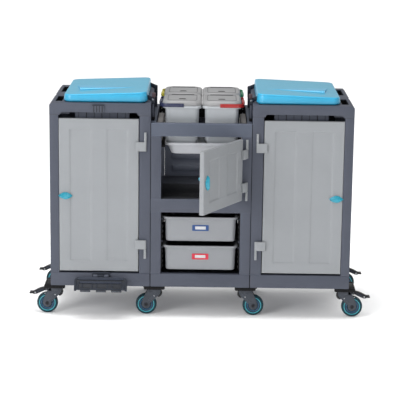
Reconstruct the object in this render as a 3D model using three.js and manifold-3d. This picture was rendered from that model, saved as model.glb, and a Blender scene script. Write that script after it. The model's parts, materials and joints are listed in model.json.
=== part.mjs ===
// Housekeeping cart: a low middle module with four buckets, a tray, a small cupboard and two
// drawers, between two tall linen cabinets with lids and doors, all on eight swivel castors.
// Millimetres, +Z up, front towards -Y, wheels standing on Z = 0. Right and left are the
// viewer's, facing the front. The right half is drawn, and the left half is its mirror image.
import * as THREE from "three";
import { mergeVertices } from "three/addons/utils/BufferGeometryUtils.js";
import Module from "manifold-3d";

const wasm = await Module();
wasm.setup();

// ---------------------------------------------------------------- driving dimensions

const MODULE_WIDTH = 467;
const SEAM = 1.5; // between neighbouring modules
const DEPTH = 580;
const TOUCH = 0.3; // left between two pieces that touch
const BITE = 1; // how far joined shapes run into each other

const BASE_BOTTOM = 153;
const BASE_TOP = 216;
const BASE_FLOOR = 200;
const BASE_RIM = 26;
const POST_DEPTH = 40;
const PANEL = 8;
const PANEL_INSET = 6;
const BACK_INSET = 20; // from the cart's back to the back panels
const TALL_SIDE_TOP = 965.6;
const TALL_TOP = 1021;
const MIDDLE_SIDE_TOP = 871.5;
const MIDDLE_TOP = 932.5;
const RAIL_BOTTOM = 512.6;
const RAIL_TOP = 576.5;
const OUTER_POST = 41;
const INNER_POST = 51;
const MIDDLE_POST = 48;

const DOOR_THICKNESS = 22;
const DOOR_GAP = 1.5;
const DOOR_BOTTOM = 225.3;
const DOOR_TOP = 949.6;
const CUPBOARD_DOOR_BOTTOM = 578.5;
const CUPBOARD_DOOR_TOP = 866;
const CUPBOARD_OPEN = THREE.MathUtils.degToRad(61);
const TALL_ARMS = [823, 357]; // heights of the hinge arms' middles
const CUPBOARD_ARMS = [795, 640];
const ARM_HEIGHT = 42;
const ARM_THICKNESS = 12;
const ARM_CLEARANCE = 1;
const LEAF_LENGTH = 45;
const HINGE_PIN = 3;
const PIN_PLAY = 0.5;

const KNOB_HALF_LENGTH = 33.5;
const KNOB_HALF_HEIGHT = 16.5;
const KNOB_THICKNESS = 13;
const KNOB_FROM_EDGE = 30;
const KNOB_HEIGHT = 586;
const CUPBOARD_KNOB_HEIGHT = 722;
const SPINDLE = 6;
const TONGUE_LENGTH = 38;

const LID_INNER = 253;
const LID_OUTER = 640;
const LID_HALF_DEPTH = 259;
const LID_BOTTOM = 1022.3;
const LID_SKIRT = 1027;
const LID_TOP = 1070.9; // at the hinge edge
const LID_FALL = 14.8; // from the hinge edge to the outer edge
const LID_WALL = 4;
const LID_CORNER = 38;
const LID_AXIS_X = 228;
const LID_AXIS_Z = 1031;
const LID_HINGE_Y = 200;

const DRAWER_HALF = 175.5;
const DRAWER_FRONT = -284;
const DRAWER_BACK = 258;
const DRAWER_HEIGHT = 116;
const DRAWER_RIM = 10;
const UPPER_DRAWER_TOP = 489;
const LOWER_DRAWER_TOP = 351;
const RUNNER_INNER = 168.5;
const RUNNER_THICKNESS = 8;

const TRAY_TOP = 834;
const TRAY_FLOOR = 825;
const TRAY_FLANGE = 821;
const TRAY_BOTTOM = 778;

const BUCKET_X = 92;
const BUCKET_Y = 125;
const BUCKET_BOTTOM = TRAY_FLOOR + TOUCH;
const BUCKET_TOP = 1006;
const BUCKET_LID_TOP = 1030;
const BAIL_Z = 1009.5;
const BAIL_STUD = 3;
const BUCKET_HALF = 80;
const BUCKET_HALF_DEPTH = 107;
const BUCKET_RIM_HALF = 90;
const BUCKET_RIM_HALF_DEPTH = 115;
const BUCKET_LUG_Y = 111; // from the bucket's middle

const WHEEL_RADIUS = 50;
const WHEEL_HALF_WIDTH = 16;
const TRAIL = 40;
const CASTOR_Y = 215;
const OUTER_CASTOR_X = 685;
const INNER_CASTOR_X = 214.5;
const PLATE_BOTTOM = 139;
const PLATE_HALF = 49.5;
const PLATE_HALF_DEPTH = 45;
const PLATE_ROLL = 8;
const PLATE_ROOT = PLATE_HALF - 10; // from a plate's middle to its root's inner edge
const CROWN_BOTTOM = 108;
const CROWN_RADIUS = 30;
const FORK_GAP = 1.5; // between the wheel and each cheek
const CHEEK = 5;
const EAR = 19; // radius of a cheek's end round the axle
const AXLE = 6;
const KING_PIN = 7;
const BRAKE_X = 38; // the brake lever's pivot, outwards from the swivel axis
const BRAKE_Z = 120;
const BRAKE_REACH = 124.2; // from the swivel axis to the lever's toe
const BRAKE_HALF_WIDTH = 13;
const TOE_HALF_WIDTH = 22;

const PEDAL_AXIS_Y = -304;
const PEDAL_AXIS_Z = 205;
const PEDAL_X = 464;
const PEDAL_TILT = THREE.MathUtils.degToRad(-35);
const PEDAL_HALF = 124;
const PEDAL_KNUCKLE = 7;

// ---------------------------------------------------------------- worked-out places

const FRONT = -DEPTH / 2;
const BACK = DEPTH / 2;
const MIDDLE_HALF = MODULE_WIDTH / 2;
const INNER = MIDDLE_HALF + SEAM;
const OUTER = INNER + MODULE_WIDTH;
const INNER_POST_EDGE = INNER + INNER_POST;
const OUTER_POST_EDGE = OUTER - OUTER_POST;
const MIDDLE_POST_EDGE = MIDDLE_HALF - MIDDLE_POST;
const HINGE_Y = FRONT - ARM_CLEARANCE - ARM_THICKNESS / 2;
const TALL_HINGE_X = INNER + 24;
const CUPBOARD_HINGE_X = MIDDLE_HALF - 22.5;

// ---------------------------------------------------------------- materials

function plastic(color, roughness) {
  return new THREE.MeshStandardMaterial({ color, roughness, metalness: 0 });
}
const SLATE = plastic(0x5f6471, 0.7);
const BLACK = plastic(0x1c1d20, 0.7);
const LIGHT_GREY = plastic(0xa7abae, 0.55);
const CONTAINER_GREY = plastic(0xa0a3a8, 0.5);
const CYAN = plastic(0x46bdeb, 0.25);
const LATCH_BLUE = plastic(0x14b4e6, 0.35);
const DARK_GREY = plastic(0x3a3d42, 0.65);
const TYRE = plastic(0x18424e, 0.6);
const BAIL_COLOURS = {
  front_left: plastic(0x2c3566, 0.45),
  front_right: plastic(0xd32f36, 0.45),
  rear_left: plastic(0xd9cf2f, 0.45),
  rear_right: plastic(0x2f8f62, 0.45),
};

// ---------------------------------------------------------------- solids

// A closed geometry as a solid that can be joined and cut.
function toSolid(geometry) {
  const bare = geometry.clone();
  bare.deleteAttribute("normal");
  bare.deleteAttribute("uv");
  const merged = mergeVertices(bare, 1e-4);
  return new wasm.Manifold(
    new wasm.Mesh({
      numProp: 3,
      vertProperties: merged.attributes.position.array,
      triVerts: new Uint32Array(merged.index.array),
    }),
  );
}

function join(first, ...others) {
  return others.reduce((sum, other) => sum.add(other), first);
}

function cut(first, ...others) {
  return others.reduce((rest, other) => rest.subtract(other), first);
}

function toGeometry(solid) {
  const mesh = solid.getMesh();
  const geometry = new THREE.BufferGeometry();
  geometry.setAttribute("position", new THREE.BufferAttribute(mesh.vertProperties, 3));
  geometry.setIndex(new THREE.BufferAttribute(mesh.triVerts, 1));
  geometry.computeVertexNormals();
  return geometry;
}

function addNode(group, name, solid, material) {
  const mesh = new THREE.Mesh(toGeometry(solid), material);
  mesh.name = name;
  group.add(mesh);
}

function box(x0, x1, y0, y1, z0, z1) {
  const geometry = new THREE.BoxGeometry(x1 - x0, y1 - y0, z1 - z0);
  geometry.translate((x0 + x1) / 2, (y0 + y1) / 2, (z0 + z1) / 2);
  return toSolid(geometry);
}

// An outline pushed along an axis. Its two coordinates are x y for z, x z for y, and y z for x.
function prism(outline, axis, from, to, curveSegments = 3) {
  const shape = Array.isArray(outline) ? new THREE.Shape(outline) : outline;
  const geometry = new THREE.ExtrudeGeometry(shape, {
    depth: to - from,
    bevelEnabled: false,
    curveSegments,
  });
  const turn = new THREE.Matrix4();
  const x = new THREE.Vector3(1, 0, 0);
  const y = new THREE.Vector3(0, 1, 0);
  const z = new THREE.Vector3(0, 0, 1);
  if (axis === "z") {
    geometry.translate(0, 0, from);
  }
  if (axis === "y") {
    geometry.translate(0, 0, -to);
    geometry.applyMatrix4(turn.makeBasis(x, z, y.negate()));
  }
  if (axis === "x") {
    geometry.translate(0, 0, from);
    geometry.applyMatrix4(turn.makeBasis(y, z, x));
  }
  return toSolid(geometry);
}

function points(...pairs) {
  return pairs.map(([a, b]) => new THREE.Vector2(a, b));
}

// A round bar along an axis, with its middle at the point given.
function rod(axis, x, y, z, radius, length, sides = 12) {
  const geometry = new THREE.CylinderGeometry(radius, radius, length, sides);
  if (axis === "x") {
    geometry.rotateZ(Math.PI / 2);
  }
  if (axis === "z") {
    geometry.rotateX(Math.PI / 2);
  }
  geometry.translate(x, y, z);
  return toSolid(geometry);
}

// A level ring of points: a rectangle with its corners rounded in the given number of steps.
function ring(x0, x1, y0, y1, z, corner, steps = 3) {
  const centres = [
    [x1 - corner, y1 - corner],
    [x0 + corner, y1 - corner],
    [x0 + corner, y0 + corner],
    [x1 - corner, y0 + corner],
  ];
  return centres.flatMap(([cx, cy], quarter) =>
    Array.from({ length: steps + 1 }, (_, step) => {
      const angle = ((quarter + step / steps) * Math.PI) / 2;
      return new THREE.Vector3(
        cx + corner * Math.cos(angle),
        cy + corner * Math.sin(angle),
        z,
      );
    }),
  );
}

// A closed skin through level rings in turn. The first ring is capped facing down and the last up.
function loft(rings) {
  const count = rings[0].length;
  const triangles = [];
  for (let level = 0; level + 1 < rings.length; level++) {
    for (let i = 0; i < count; i++) {
      const a = level * count + i;
      const b = level * count + ((i + 1) % count);
      triangles.push(a, b, b + count, a, b + count, a + count);
    }
  }
  const last = (rings.length - 1) * count;
  for (let i = 1; i + 1 < count; i++) {
    triangles.push(0, i + 1, i, last, last + i, last + i + 1);
  }
  const geometry = new THREE.BufferGeometry();
  geometry.setFromPoints(rings.flat());
  geometry.setIndex(triangles);
  return toSolid(geometry);
}

// ---------------------------------------------------------------- castors

// The fixed plate under a module, with a rolled edge at each end and the swivel's king pin.
function castorPlate(x, y, rootX0, rootX1) {
  const rollX = PLATE_HALF - PLATE_ROLL;
  const rollZ = PLATE_BOTTOM + PLATE_ROLL - BITE;
  const rollRadius = PLATE_ROLL - BITE;
  const rollLength = 2 * (PLATE_HALF_DEPTH + BITE);
  const near = y - PLATE_HALF_DEPTH;
  const far = y + PLATE_HALF_DEPTH;
  const rootInset = 5;
  const pinTop = PLATE_BOTTOM + BITE;
  const pinBottom = CROWN_BOTTOM + 6;
  return join(
    box(x - rollX, x + rollX, near, far, PLATE_BOTTOM, BASE_BOTTOM - TOUCH),
    rod("y", x - rollX, y, rollZ, rollRadius, rollLength, 8),
    rod("y", x + rollX, y, rollZ, rollRadius, rollLength, 8),
    box(rootX0, rootX1, near + rootInset, far - rootInset, pinTop, BASE_BOTTOM + BITE),
    rod("z", x, y, (pinBottom + pinTop) / 2, KING_PIN, pinTop - pinBottom),
  );
}

// The swivelling fork: a round crown on the king pin, two cheeks and the axle between them.
function forkSolid(x, y, hasBrake) {
  const axleX = x + TRAIL;
  const crownTop = PLATE_BOTTOM - PIN_PLAY;
  const crownMiddle = (CROWN_BOTTOM + crownTop) / 2;
  const seatLength = 34;
  const side = new THREE.Shape();
  side.moveTo(x - 27, CROWN_BOTTOM + 8);
  side.lineTo(x - 24, CROWN_BOTTOM - 8);
  side.lineTo(axleX - EAR, WHEEL_RADIUS + 12);
  side.lineTo(axleX - EAR, WHEEL_RADIUS);
  side.absarc(axleX, WHEEL_RADIUS, EAR, Math.PI, 2 * Math.PI, false);
  side.lineTo(x + 29, CROWN_BOTTOM + 8);
  const inside = WHEEL_HALF_WIDTH + FORK_GAP;
  const bothSides = (outline, steps) => [
    prism(outline, "y", y - inside - CHEEK, y - inside, steps),
    prism(outline, "y", y + inside, y + inside + CHEEK, steps),
  ];
  let fork = join(
    rod("z", x, y, crownMiddle, CROWN_RADIUS, crownTop - CROWN_BOTTOM, 16),
    ...bothSides(side, 4),
    rod("y", axleX, y, WHEEL_RADIUS, AXLE, 2 * inside + BITE, 10),
  );
  if (hasBrake) {
    const ear = points([x + 15, 111], [x + 43, 111], [x + 43, 127], [x + 15, 131]);
    const room = box(x + 28, x + 50, y - inside, y + inside, CROWN_BOTTOM - BITE, PLATE_BOTTOM);
    fork = join(
      cut(fork, room),
      ...bothSides(ear, 1),
      rod("y", x + BRAKE_X, y, BRAKE_Z, HINGE_PIN, 2 * inside + BITE, 8),
    );
  }
  return cut(fork, rod("z", x, y, PLATE_BOTTOM - 10, KING_PIN + PIN_PLAY, seatLength));
}

function wheelSolid(x, y) {
  const half = WHEEL_HALF_WIDTH;
  const bore = AXLE + PIN_PLAY;
  const shoulder = WHEEL_RADIUS - 8;
  const tread = half - 7;
  const profile = points(
    [bore, -half],
    [shoulder, -half],
    [WHEEL_RADIUS, -tread],
    [WHEEL_RADIUS, tread],
    [shoulder, half],
    [bore, half],
    [bore, -half],
  );
  const geometry = new THREE.LatheGeometry(profile, 24);
  geometry.translate(x + TRAIL, y, WHEEL_RADIUS);
  return toSolid(geometry);
}

// The brake's foot lever, which pivots on the fork and reaches out over the wheel.
function brakeSolid(x, y) {
  const pivotX = x + BRAKE_X;
  const toeX = x + BRAKE_REACH;
  const barrel = 6.5;
  const lever = points(
    [pivotX - 2, 126],
    [pivotX + 12, 125],
    [x + 84, 115],
    [x + 106, 104],
    [toeX, 100],
    [toeX, 95],
    [x + 104, 91],
    [x + 86, 93],
    [x + 62, 104],
    [pivotX + 4, 112],
  );
  return cut(
    join(
      prism(lever, "y", y - BRAKE_HALF_WIDTH, y + BRAKE_HALF_WIDTH),
      rod("y", pivotX, y, BRAKE_Z, barrel, 32, 10),
      box(x + 100, toeX, y - TOE_HALF_WIDTH, y + TOE_HALF_WIDTH, 96.5, 99.5),
    ),
    rod("y", pivotX, y, BRAKE_Z, HINGE_PIN + PIN_PLAY, 40, 8),
  );
}

function addCastor(group, name, x, y, hasBrake) {
  addNode(group, "castor_fork_" + name, forkSolid(x, y, hasBrake), SLATE);
  addNode(group, "castor_wheel_" + name, wheelSolid(x, y), TYRE);
  if (hasBrake) {
    addNode(group, "castor_brake_" + name, brakeSolid(x, y), DARK_GREY);
  }
}

// ---------------------------------------------------------------- frame pieces

// A moulded floor: a slab with a raised rim round its top.
function baseSolid(x0, x1) {
  return cut(
    box(x0, x1, FRONT, BACK, BASE_BOTTOM, BASE_TOP),
    box(
      x0 + BASE_RIM,
      x1 - BASE_RIM,
      FRONT + BASE_RIM,
      BACK - BASE_RIM,
      BASE_FLOOR,
      BASE_TOP + BITE,
    ),
  );
}

// A side wall between two corner posts. outside is the x of its outer face, and inward is +1 or
// -1, the way to the module's middle.
function sideSolid(outside, inward, postWidth, z0, z1) {
  const x = (distance) => outside + inward * distance;
  const slope = 4;
  const half = [
    [x(0), BACK - POST_DEPTH + slope],
    [x(PANEL_INSET), BACK - POST_DEPTH],
    [x(PANEL_INSET), 0],
  ];
  const mirrored = half.map(([px, py]) => [px, -py]).reverse();
  const outline = [
    [x(0), BACK],
    ...half.slice(0, 2),
    ...mirrored.slice(1),
    [x(0), FRONT],
    [x(postWidth), FRONT],
    [x(postWidth), FRONT + POST_DEPTH],
    [x(PANEL_INSET + PANEL), FRONT + POST_DEPTH],
    [x(PANEL_INSET + PANEL), BACK - POST_DEPTH],
    [x(postWidth), BACK - POST_DEPTH],
    [x(postWidth), BACK],
  ];
  return prism(points(...outline), "z", z0, z1);
}

// The fixed half of a door hinge: a leaf on the post and the pin that runs into the door's arm.
function hingeLeaf(x, armMiddle, up) {
  const half = ARM_HEIGHT / 2;
  const leafHalf = 5;
  const start = armMiddle + up * (half + PIN_PLAY);
  const end = armMiddle + up * (half + LEAF_LENGTH);
  const pinEnd = armMiddle - up * (half - 4);
  const root = start + up * 4;
  return join(
    box(
      x - leafHalf,
      x + leafHalf,
      HINGE_Y - leafHalf,
      FRONT + BITE,
      Math.min(start, end),
      Math.max(start, end),
    ),
    rod("z", x, HINGE_Y, (pinEnd + root) / 2, HINGE_PIN, Math.abs(root - pinEnd), 10),
  );
}

// A cabinet back with one broad sunk field.
function backPanelSolid(x0, x1, z0, z1) {
  const plate = 10;
  const near = BACK - BACK_INSET;
  const far = near + plate;
  const margin = 45;
  const recess = 3;
  const field = [x0 + margin, x1 - margin];
  return cut(
    box(x0, x1, near, far, z0, z1),
    box(...field, near - BITE, near + recess, z0 + margin, z1 - margin),
    box(...field, far - recess, far + BITE, z0 + margin, z1 - margin),
  );
}

// ---------------------------------------------------------------- doors and latches

// A door drawn closed. free and hinge are the x of its two edges, axis the x of its hinge.
function doorSolid(free, hinge, axis, z0, z1, armMiddles, knobZ) {
  const inward = Math.sign(hinge - free);
  const left = Math.min(free, hinge);
  const right = Math.max(free, hinge);
  const back = FRONT + DOOR_THICKNESS;
  const margin = 50;
  const frontRecess = 2.5;
  const backRecess = 8;
  const field = [left + margin, right - margin];
  const shell = cut(
    box(left, right, FRONT, back, z0, z1),
    box(...field, FRONT - BITE, FRONT + frontRecess, z0 + margin, z1 - margin),
    box(...field, back - backRecess, back + BITE, z0 + margin, z1 - margin),
    rod("y", free + inward * KNOB_FROM_EDGE, FRONT, knobZ, SPINDLE + 1, 3 * DOOR_THICKNESS, 12),
  );
  const radius = ARM_THICKNESS / 2;
  const armRoot = 14;
  const reach = hinge - inward * armRoot;
  const arm = new THREE.Shape();
  const start = inward > 0 ? -Math.PI / 2 : Math.PI / 2;
  arm.moveTo(reach, HINGE_Y - radius * inward);
  arm.lineTo(axis, HINGE_Y - radius * inward);
  arm.absarc(axis, HINGE_Y, radius, start, start + Math.PI, false);
  arm.lineTo(reach, HINGE_Y + radius * inward);
  const pieces = armMiddles.flatMap((middle) => [
    prism(arm, "z", middle - ARM_HEIGHT / 2, middle + ARM_HEIGHT / 2, 8),
    box(
      Math.min(reach, hinge),
      Math.max(reach, hinge),
      HINGE_Y,
      FRONT + BITE,
      middle - ARM_HEIGHT / 2,
      middle + ARM_HEIGHT / 2,
    ),
  ]);
  const middle = (z0 + z1) / 2;
  return cut(
    join(shell, ...pieces),
    rod("z", axis, HINGE_Y, middle, HINGE_PIN + PIN_PLAY, 2 * (z1 - z0), 10),
  );
}

// A leaf-shaped turn knob on the door's front, its spindle, and a short tongue behind the door.
// It is drawn with the knob level and the tongue pointing up and towards outward.
function latchSolid(x, z, outward) {
  const leaf = new THREE.Shape();
  leaf.moveTo(-KNOB_HALF_LENGTH, 0);
  leaf.quadraticCurveTo(0, -2 * KNOB_HALF_HEIGHT, KNOB_HALF_LENGTH, 0);
  leaf.quadraticCurveTo(0, 2 * KNOB_HALF_HEIGHT, -KNOB_HALF_LENGTH, 0);
  const face = FRONT - PIN_PLAY;
  const back = FRONT + DOOR_THICKNESS;
  const tongueHeight = 12;
  const tongueDepth = 6;
  const tail = 4; // of the tongue, beyond the spindle
  const tongue = new THREE.BoxGeometry(TONGUE_LENGTH, tongueDepth, tongueHeight);
  tongue.translate(TONGUE_LENGTH / 2 - tail, back + tongueDepth - BITE, 0);
  tongue.rotateY((-outward * Math.PI) / 4 + (outward < 0 ? Math.PI : 0));
  const solid = join(
    prism(leaf, "y", face - KNOB_THICKNESS, face, 6),
    rod("y", 0, (face + back) / 2 + 2, 0, SPINDLE, back - face + 8),
    toSolid(tongue),
  );
  return solid.translate([x, 0, z]);
}

// ---------------------------------------------------------------- tall cabinets

// The frame that closes a tall cabinet's top, open in its middle, with two hand slots on its
// outer side and the lid hinge's uprights on its inner side.
function tallTopFrame(isLeft) {
  const z0 = TALL_SIDE_TOP + TOUCH;
  const above = TALL_TOP + BITE;
  const below = z0 - BITE;
  const rail = 30;
  const chamfer = 10;
  const notchTop = z0 + 13;
  const mouth = [INNER + 27, OUTER - 90];
  const handSlot = [OUTER - 54, OUTER - 22];
  const frontSlot = [-229, -66];
  const rearSlot = [60, 240];
  const thumbRecess = [-30, 50];
  const bar = [335, 585];
  const barBottom = 944;
  const notch = points(
    [INNER_POST_EDGE + 2, below],
    [OUTER_POST_EDGE - 2, below],
    [OUTER_POST_EDGE - 5, z0],
    [OUTER_POST_EDGE - 17, notchTop],
    [INNER_POST_EDGE + 13, notchTop],
    [INNER_POST_EDGE + 5, z0],
  );
  const edge = points(
    [OUTER - chamfer, above],
    [OUTER + BITE, above],
    [OUTER + BITE, TALL_TOP - chamfer],
  );
  let frame = cut(
    box(INNER, OUTER, FRONT, BACK, z0, TALL_TOP),
    box(...mouth, FRONT + rail, BACK - rail, below, above),
    box(...handSlot, ...frontSlot, below, above),
    box(...handSlot, ...rearSlot, below, above),
    prism(notch, "y", FRONT - BITE, FRONT + rail + BITE),
    prism(edge, "y", FRONT - BITE, BACK + BITE),
    box(OUTER - 7, OUTER + BITE, ...thumbRecess, z0 + 30, above),
  );
  // The bar that the linen bag's front edge clips to.
  frame = join(frame, box(...bar, FRONT + rail - BITE, FRONT + 40, barBottom, z0 + 20));
  for (const y of [-LID_HINGE_Y, LID_HINGE_Y]) {
    frame = join(frame, lidBracket(y));
  }
  if (isLeft) {
    const catchBlock = box(450, 503, FRONT - 7, FRONT + BITE, 980, 1016);
    frame = join(frame, catchBlock);
  }
  return frame;
}

// The lid hinge's upright on the cabinet's inner side, with a slot and a pin at its top.
function lidBracket(y) {
  const face = LID_AXIS_X - 7;
  const top = LID_AXIS_Z - 3;
  const half = 15;
  const slotHalf = 4.5;
  const low = box(face, INNER - TOUCH, y - half, y + half, MIDDLE_TOP + 3, top);
  const root = box(face, INNER + BITE, y - half, y + half, TALL_SIDE_TOP + 3, TALL_TOP - 2);
  const head = rod("y", LID_AXIS_X, y, LID_AXIS_Z, 6.7, 2 * half);
  const slot = box(
    face - BITE,
    INNER + 3,
    y - slotHalf,
    y + slotHalf,
    LID_AXIS_Z - 14,
    LID_AXIS_Z + 10,
  );
  const pin = rod("y", LID_AXIS_X, y, LID_AXIS_Z, HINGE_PIN, 12, 10);
  return join(cut(join(low, root, head), slot), pin);
}

// How far the lid's top has fallen at x, outwards from its hinge edge.
function lidFall(x) {
  return (LID_FALL * (x - LID_INNER)) / (LID_OUTER - LID_INNER);
}

// A lid lug: an eye on the hinge pin under a wider block against the lid's edge.
function lidLug(y) {
  const eye = 9;
  const halfWidth = 4;
  const blockHalf = 12;
  const blockTop = LID_AXIS_Z + 30;
  const reach = LID_INNER + 9;
  return cut(
    join(
      rod("y", LID_AXIS_X, y, LID_AXIS_Z, eye, 2 * halfWidth),
      box(LID_AXIS_X - eye, reach, y - halfWidth, y + halfWidth, LID_AXIS_Z, blockTop - BITE),
      box(
        LID_AXIS_X - 12,
        LID_AXIS_X + 5,
        y - blockHalf,
        y + blockHalf,
        LID_AXIS_Z + eye,
        blockTop,
      ),
    ),
    rod("y", LID_AXIS_X, y, LID_AXIS_Z, HINGE_PIN + PIN_PLAY, 3 * eye, 10),
  );
}

// A shell that is open below and thinner at its outer edge, with a wedge on top for the fingers.
function tallLid() {
  const skirt = 6;
  const level = (inset, z, corner = LID_CORNER - inset) =>
    ring(
      LID_INNER + inset,
      LID_OUTER - inset,
      inset - LID_HALF_DEPTH,
      LID_HALF_DEPTH - inset,
      z,
      corner,
      4,
    );
  const sloped = (inset, z) => {
    const outline = level(inset, z);
    outline.forEach((point) => point.setZ(z - lidFall(point.x)));
    return outline;
  };
  const shell = loft([
    sloped(LID_WALL + skirt, LID_TOP - LID_WALL),
    level(LID_WALL + skirt, LID_BOTTOM),
    level(skirt, LID_BOTTOM),
    level(skirt, LID_SKIRT),
    level(0, LID_SKIRT),
    sloped(2, LID_TOP - 6),
    sloped(8, LID_TOP),
  ]);
  const sunk = 2;
  const wedgePoint = (x, y, above) => new THREE.Vector3(x, y, LID_TOP - lidFall(x) + above);
  const wedge = new THREE.BufferGeometry();
  wedge.setFromPoints([
    wedgePoint(570, -136, -sunk),
    wedgePoint(298, -86, -sunk),
    wedgePoint(600, 40, -sunk),
    wedgePoint(566, -130, 11),
  ]);
  wedge.setIndex([0, 1, 2, 0, 3, 1, 1, 3, 2, 2, 3, 0]);
  return join(shell, toSolid(wedge), lidLug(-LID_HINGE_Y), lidLug(LID_HINGE_Y));
}

// The pedal's hinge plate on the front of the base, with two knuckles and the hinge pin.
function pedalBracket() {
  const half = 42;
  const low = PEDAL_AXIS_Z - 8;
  const knuckleX = 19;
  const knuckleHalf = 8;
  const webHalf = 5;
  const knuckles = [PEDAL_X - knuckleX, PEDAL_X + knuckleX].flatMap((x) => [
    rod("x", x, PEDAL_AXIS_Y, PEDAL_AXIS_Z, PEDAL_KNUCKLE, 2 * knuckleHalf),
    box(
      x - knuckleHalf,
      x + knuckleHalf,
      PEDAL_AXIS_Y,
      FRONT - 5,
      PEDAL_AXIS_Z - webHalf,
      PEDAL_AXIS_Z + webHalf,
    ),
  ]);
  return join(
    box(PEDAL_X - half, PEDAL_X + half, FRONT - 7, FRONT + BITE, low, BASE_TOP),
    box(PEDAL_X - half, PEDAL_X + half, FRONT - 7, FRONT - 1, low, BASE_TOP + 5),
    ...knuckles,
    rod("x", PEDAL_X, PEDAL_AXIS_Y, PEDAL_AXIS_Z, HINGE_PIN, 40, 10),
  );
}

// The lid's foot pedal, drawn hanging straight down from its hinge at the group's origin.
function pedalSolid() {
  const top = -8.5;
  const bottom = -74;
  const corner = 7;
  const thickness = 8;
  const plate = prism(
    points(
      [-PEDAL_HALF, top - corner],
      [-PEDAL_HALF, bottom + corner],
      [-PEDAL_HALF + corner, bottom],
      [PEDAL_HALF - corner, bottom],
      [PEDAL_HALF, bottom + corner],
      [PEDAL_HALF, top - corner],
      [PEDAL_HALF - corner, top],
      [-PEDAL_HALF + corner, top],
    ),
    "y",
    -thickness,
    0,
  );
  const middles = [-75, -3, 71];
  const tabs = middles.map((x) => box(x - 24, x + 24, -7, -1, -81.5, bottom + BITE));
  const windows = middles.map((x) => box(x - 24, x + 24, -12, -4, -64, -32));
  return cut(
    join(
      cut(plate, ...windows),
      ...tabs,
      rod("x", 0, 0, 0, PEDAL_KNUCKLE, 20),
      box(-10, 10, 1 - thickness, 0, top - BITE, 0),
    ),
    rod("x", 0, 0, 0, HINGE_PIN + PIN_PLAY, 30, 10),
  );
}

function addTallCabinet(group, name) {
  const isLeft = name === "left";
  const plates = [-CASTOR_Y, CASTOR_Y].map((y) =>
    castorPlate(OUTER_CASTOR_X, y, OUTER_CASTOR_X - PLATE_ROOT, OUTER - BITE),
  );
  const extras = isLeft ? [pedalBracket()] : [];
  addNode(group, name + "_base", join(baseSolid(INNER, OUTER), ...plates, ...extras), SLATE);
  addNode(
    group,
    name + "_outer_side",
    sideSolid(OUTER, -1, OUTER_POST, BASE_TOP + TOUCH, TALL_SIDE_TOP),
    SLATE,
  );
  addNode(
    group,
    name + "_inner_side",
    join(
      sideSolid(INNER, 1, INNER_POST, BASE_TOP + TOUCH, TALL_SIDE_TOP),
      hingeLeaf(TALL_HINGE_X, TALL_ARMS[0], 1),
      hingeLeaf(TALL_HINGE_X, TALL_ARMS[1], -1),
    ),
    SLATE,
  );
  addNode(
    group,
    name + "_back_panel",
    backPanelSolid(
      INNER_POST_EDGE + TOUCH,
      OUTER_POST_EDGE - TOUCH,
      BASE_TOP + TOUCH,
      TALL_SIDE_TOP,
    ),
    SLATE,
  );
  addNode(group, name + "_top_frame", tallTopFrame(isLeft), SLATE);
  addNode(group, name + "_lid", tallLid(), CYAN);
  const free = OUTER_POST_EDGE - DOOR_GAP;
  const hinge = INNER_POST_EDGE + 3.5;
  addNode(
    group,
    name + "_door",
    doorSolid(free, hinge, TALL_HINGE_X, DOOR_BOTTOM, DOOR_TOP, TALL_ARMS, KNOB_HEIGHT),
    LIGHT_GREY,
  );
  addNode(
    group,
    name + "_door_latch",
    latchSolid(free - KNOB_FROM_EDGE, KNOB_HEIGHT, 1),
    LATCH_BLUE,
  );
  addCastor(group, name + "_outer_front", OUTER_CASTOR_X, -CASTOR_Y, true);
  addCastor(group, name + "_outer_rear", OUTER_CASTOR_X, CASTOR_Y, true);
  addCastor(group, name + "_inner_front", INNER_CASTOR_X, -CASTOR_Y, false);
  addCastor(group, name + "_inner_rear", INNER_CASTOR_X, CASTOR_Y, false);
}

// ---------------------------------------------------------------- middle module

// A middle side wall with the three runners that the tray and the drawers hang on.
function middleSide() {
  const endGap = 4;
  const runner = (top) =>
    box(
      RUNNER_INNER,
      MIDDLE_HALF - PANEL_INSET - BITE,
      FRONT + POST_DEPTH + endGap,
      BACK - POST_DEPTH - endGap,
      top - TOUCH - RUNNER_THICKNESS,
      top - TOUCH,
    );
  return join(
    sideSolid(MIDDLE_HALF, -1, MIDDLE_POST, BASE_TOP + TOUCH, MIDDLE_SIDE_TOP),
    runner(UPPER_DRAWER_TOP - DRAWER_RIM),
    runner(LOWER_DRAWER_TOP - DRAWER_RIM),
    runner(TRAY_FLANGE),
  );
}

function middleTopFrame() {
  const z0 = MIDDLE_SIDE_TOP + TOUCH;
  const rail = 28;
  const member = 21.5;
  const half = MIDDLE_HALF - member;
  return cut(
    box(-MIDDLE_HALF, MIDDLE_HALF, FRONT, BACK, z0, MIDDLE_TOP),
    box(-half, half, FRONT + rail, BACK - rail, z0 - BITE, MIDDLE_TOP + BITE),
  );
}

// The rail and shelf between the cupboard and the drawers.
function middleShelf() {
  const half = MIDDLE_POST_EDGE - TOUCH;
  const wide = MIDDLE_HALF - PANEL_INSET - PANEL - TOUCH;
  const back = BACK - BACK_INSET - TOUCH;
  const inside = FRONT + POST_DEPTH + TOUCH;
  const face = 28;
  const top = RAIL_TOP - 2;
  const bottom = top - 12;
  return join(
    box(-half, half, FRONT, FRONT + face, RAIL_BOTTOM, RAIL_TOP),
    box(-half, half, FRONT + face - BITE, back, bottom, top),
    box(-wide, wide, inside, -inside, bottom, top),
  );
}

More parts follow.
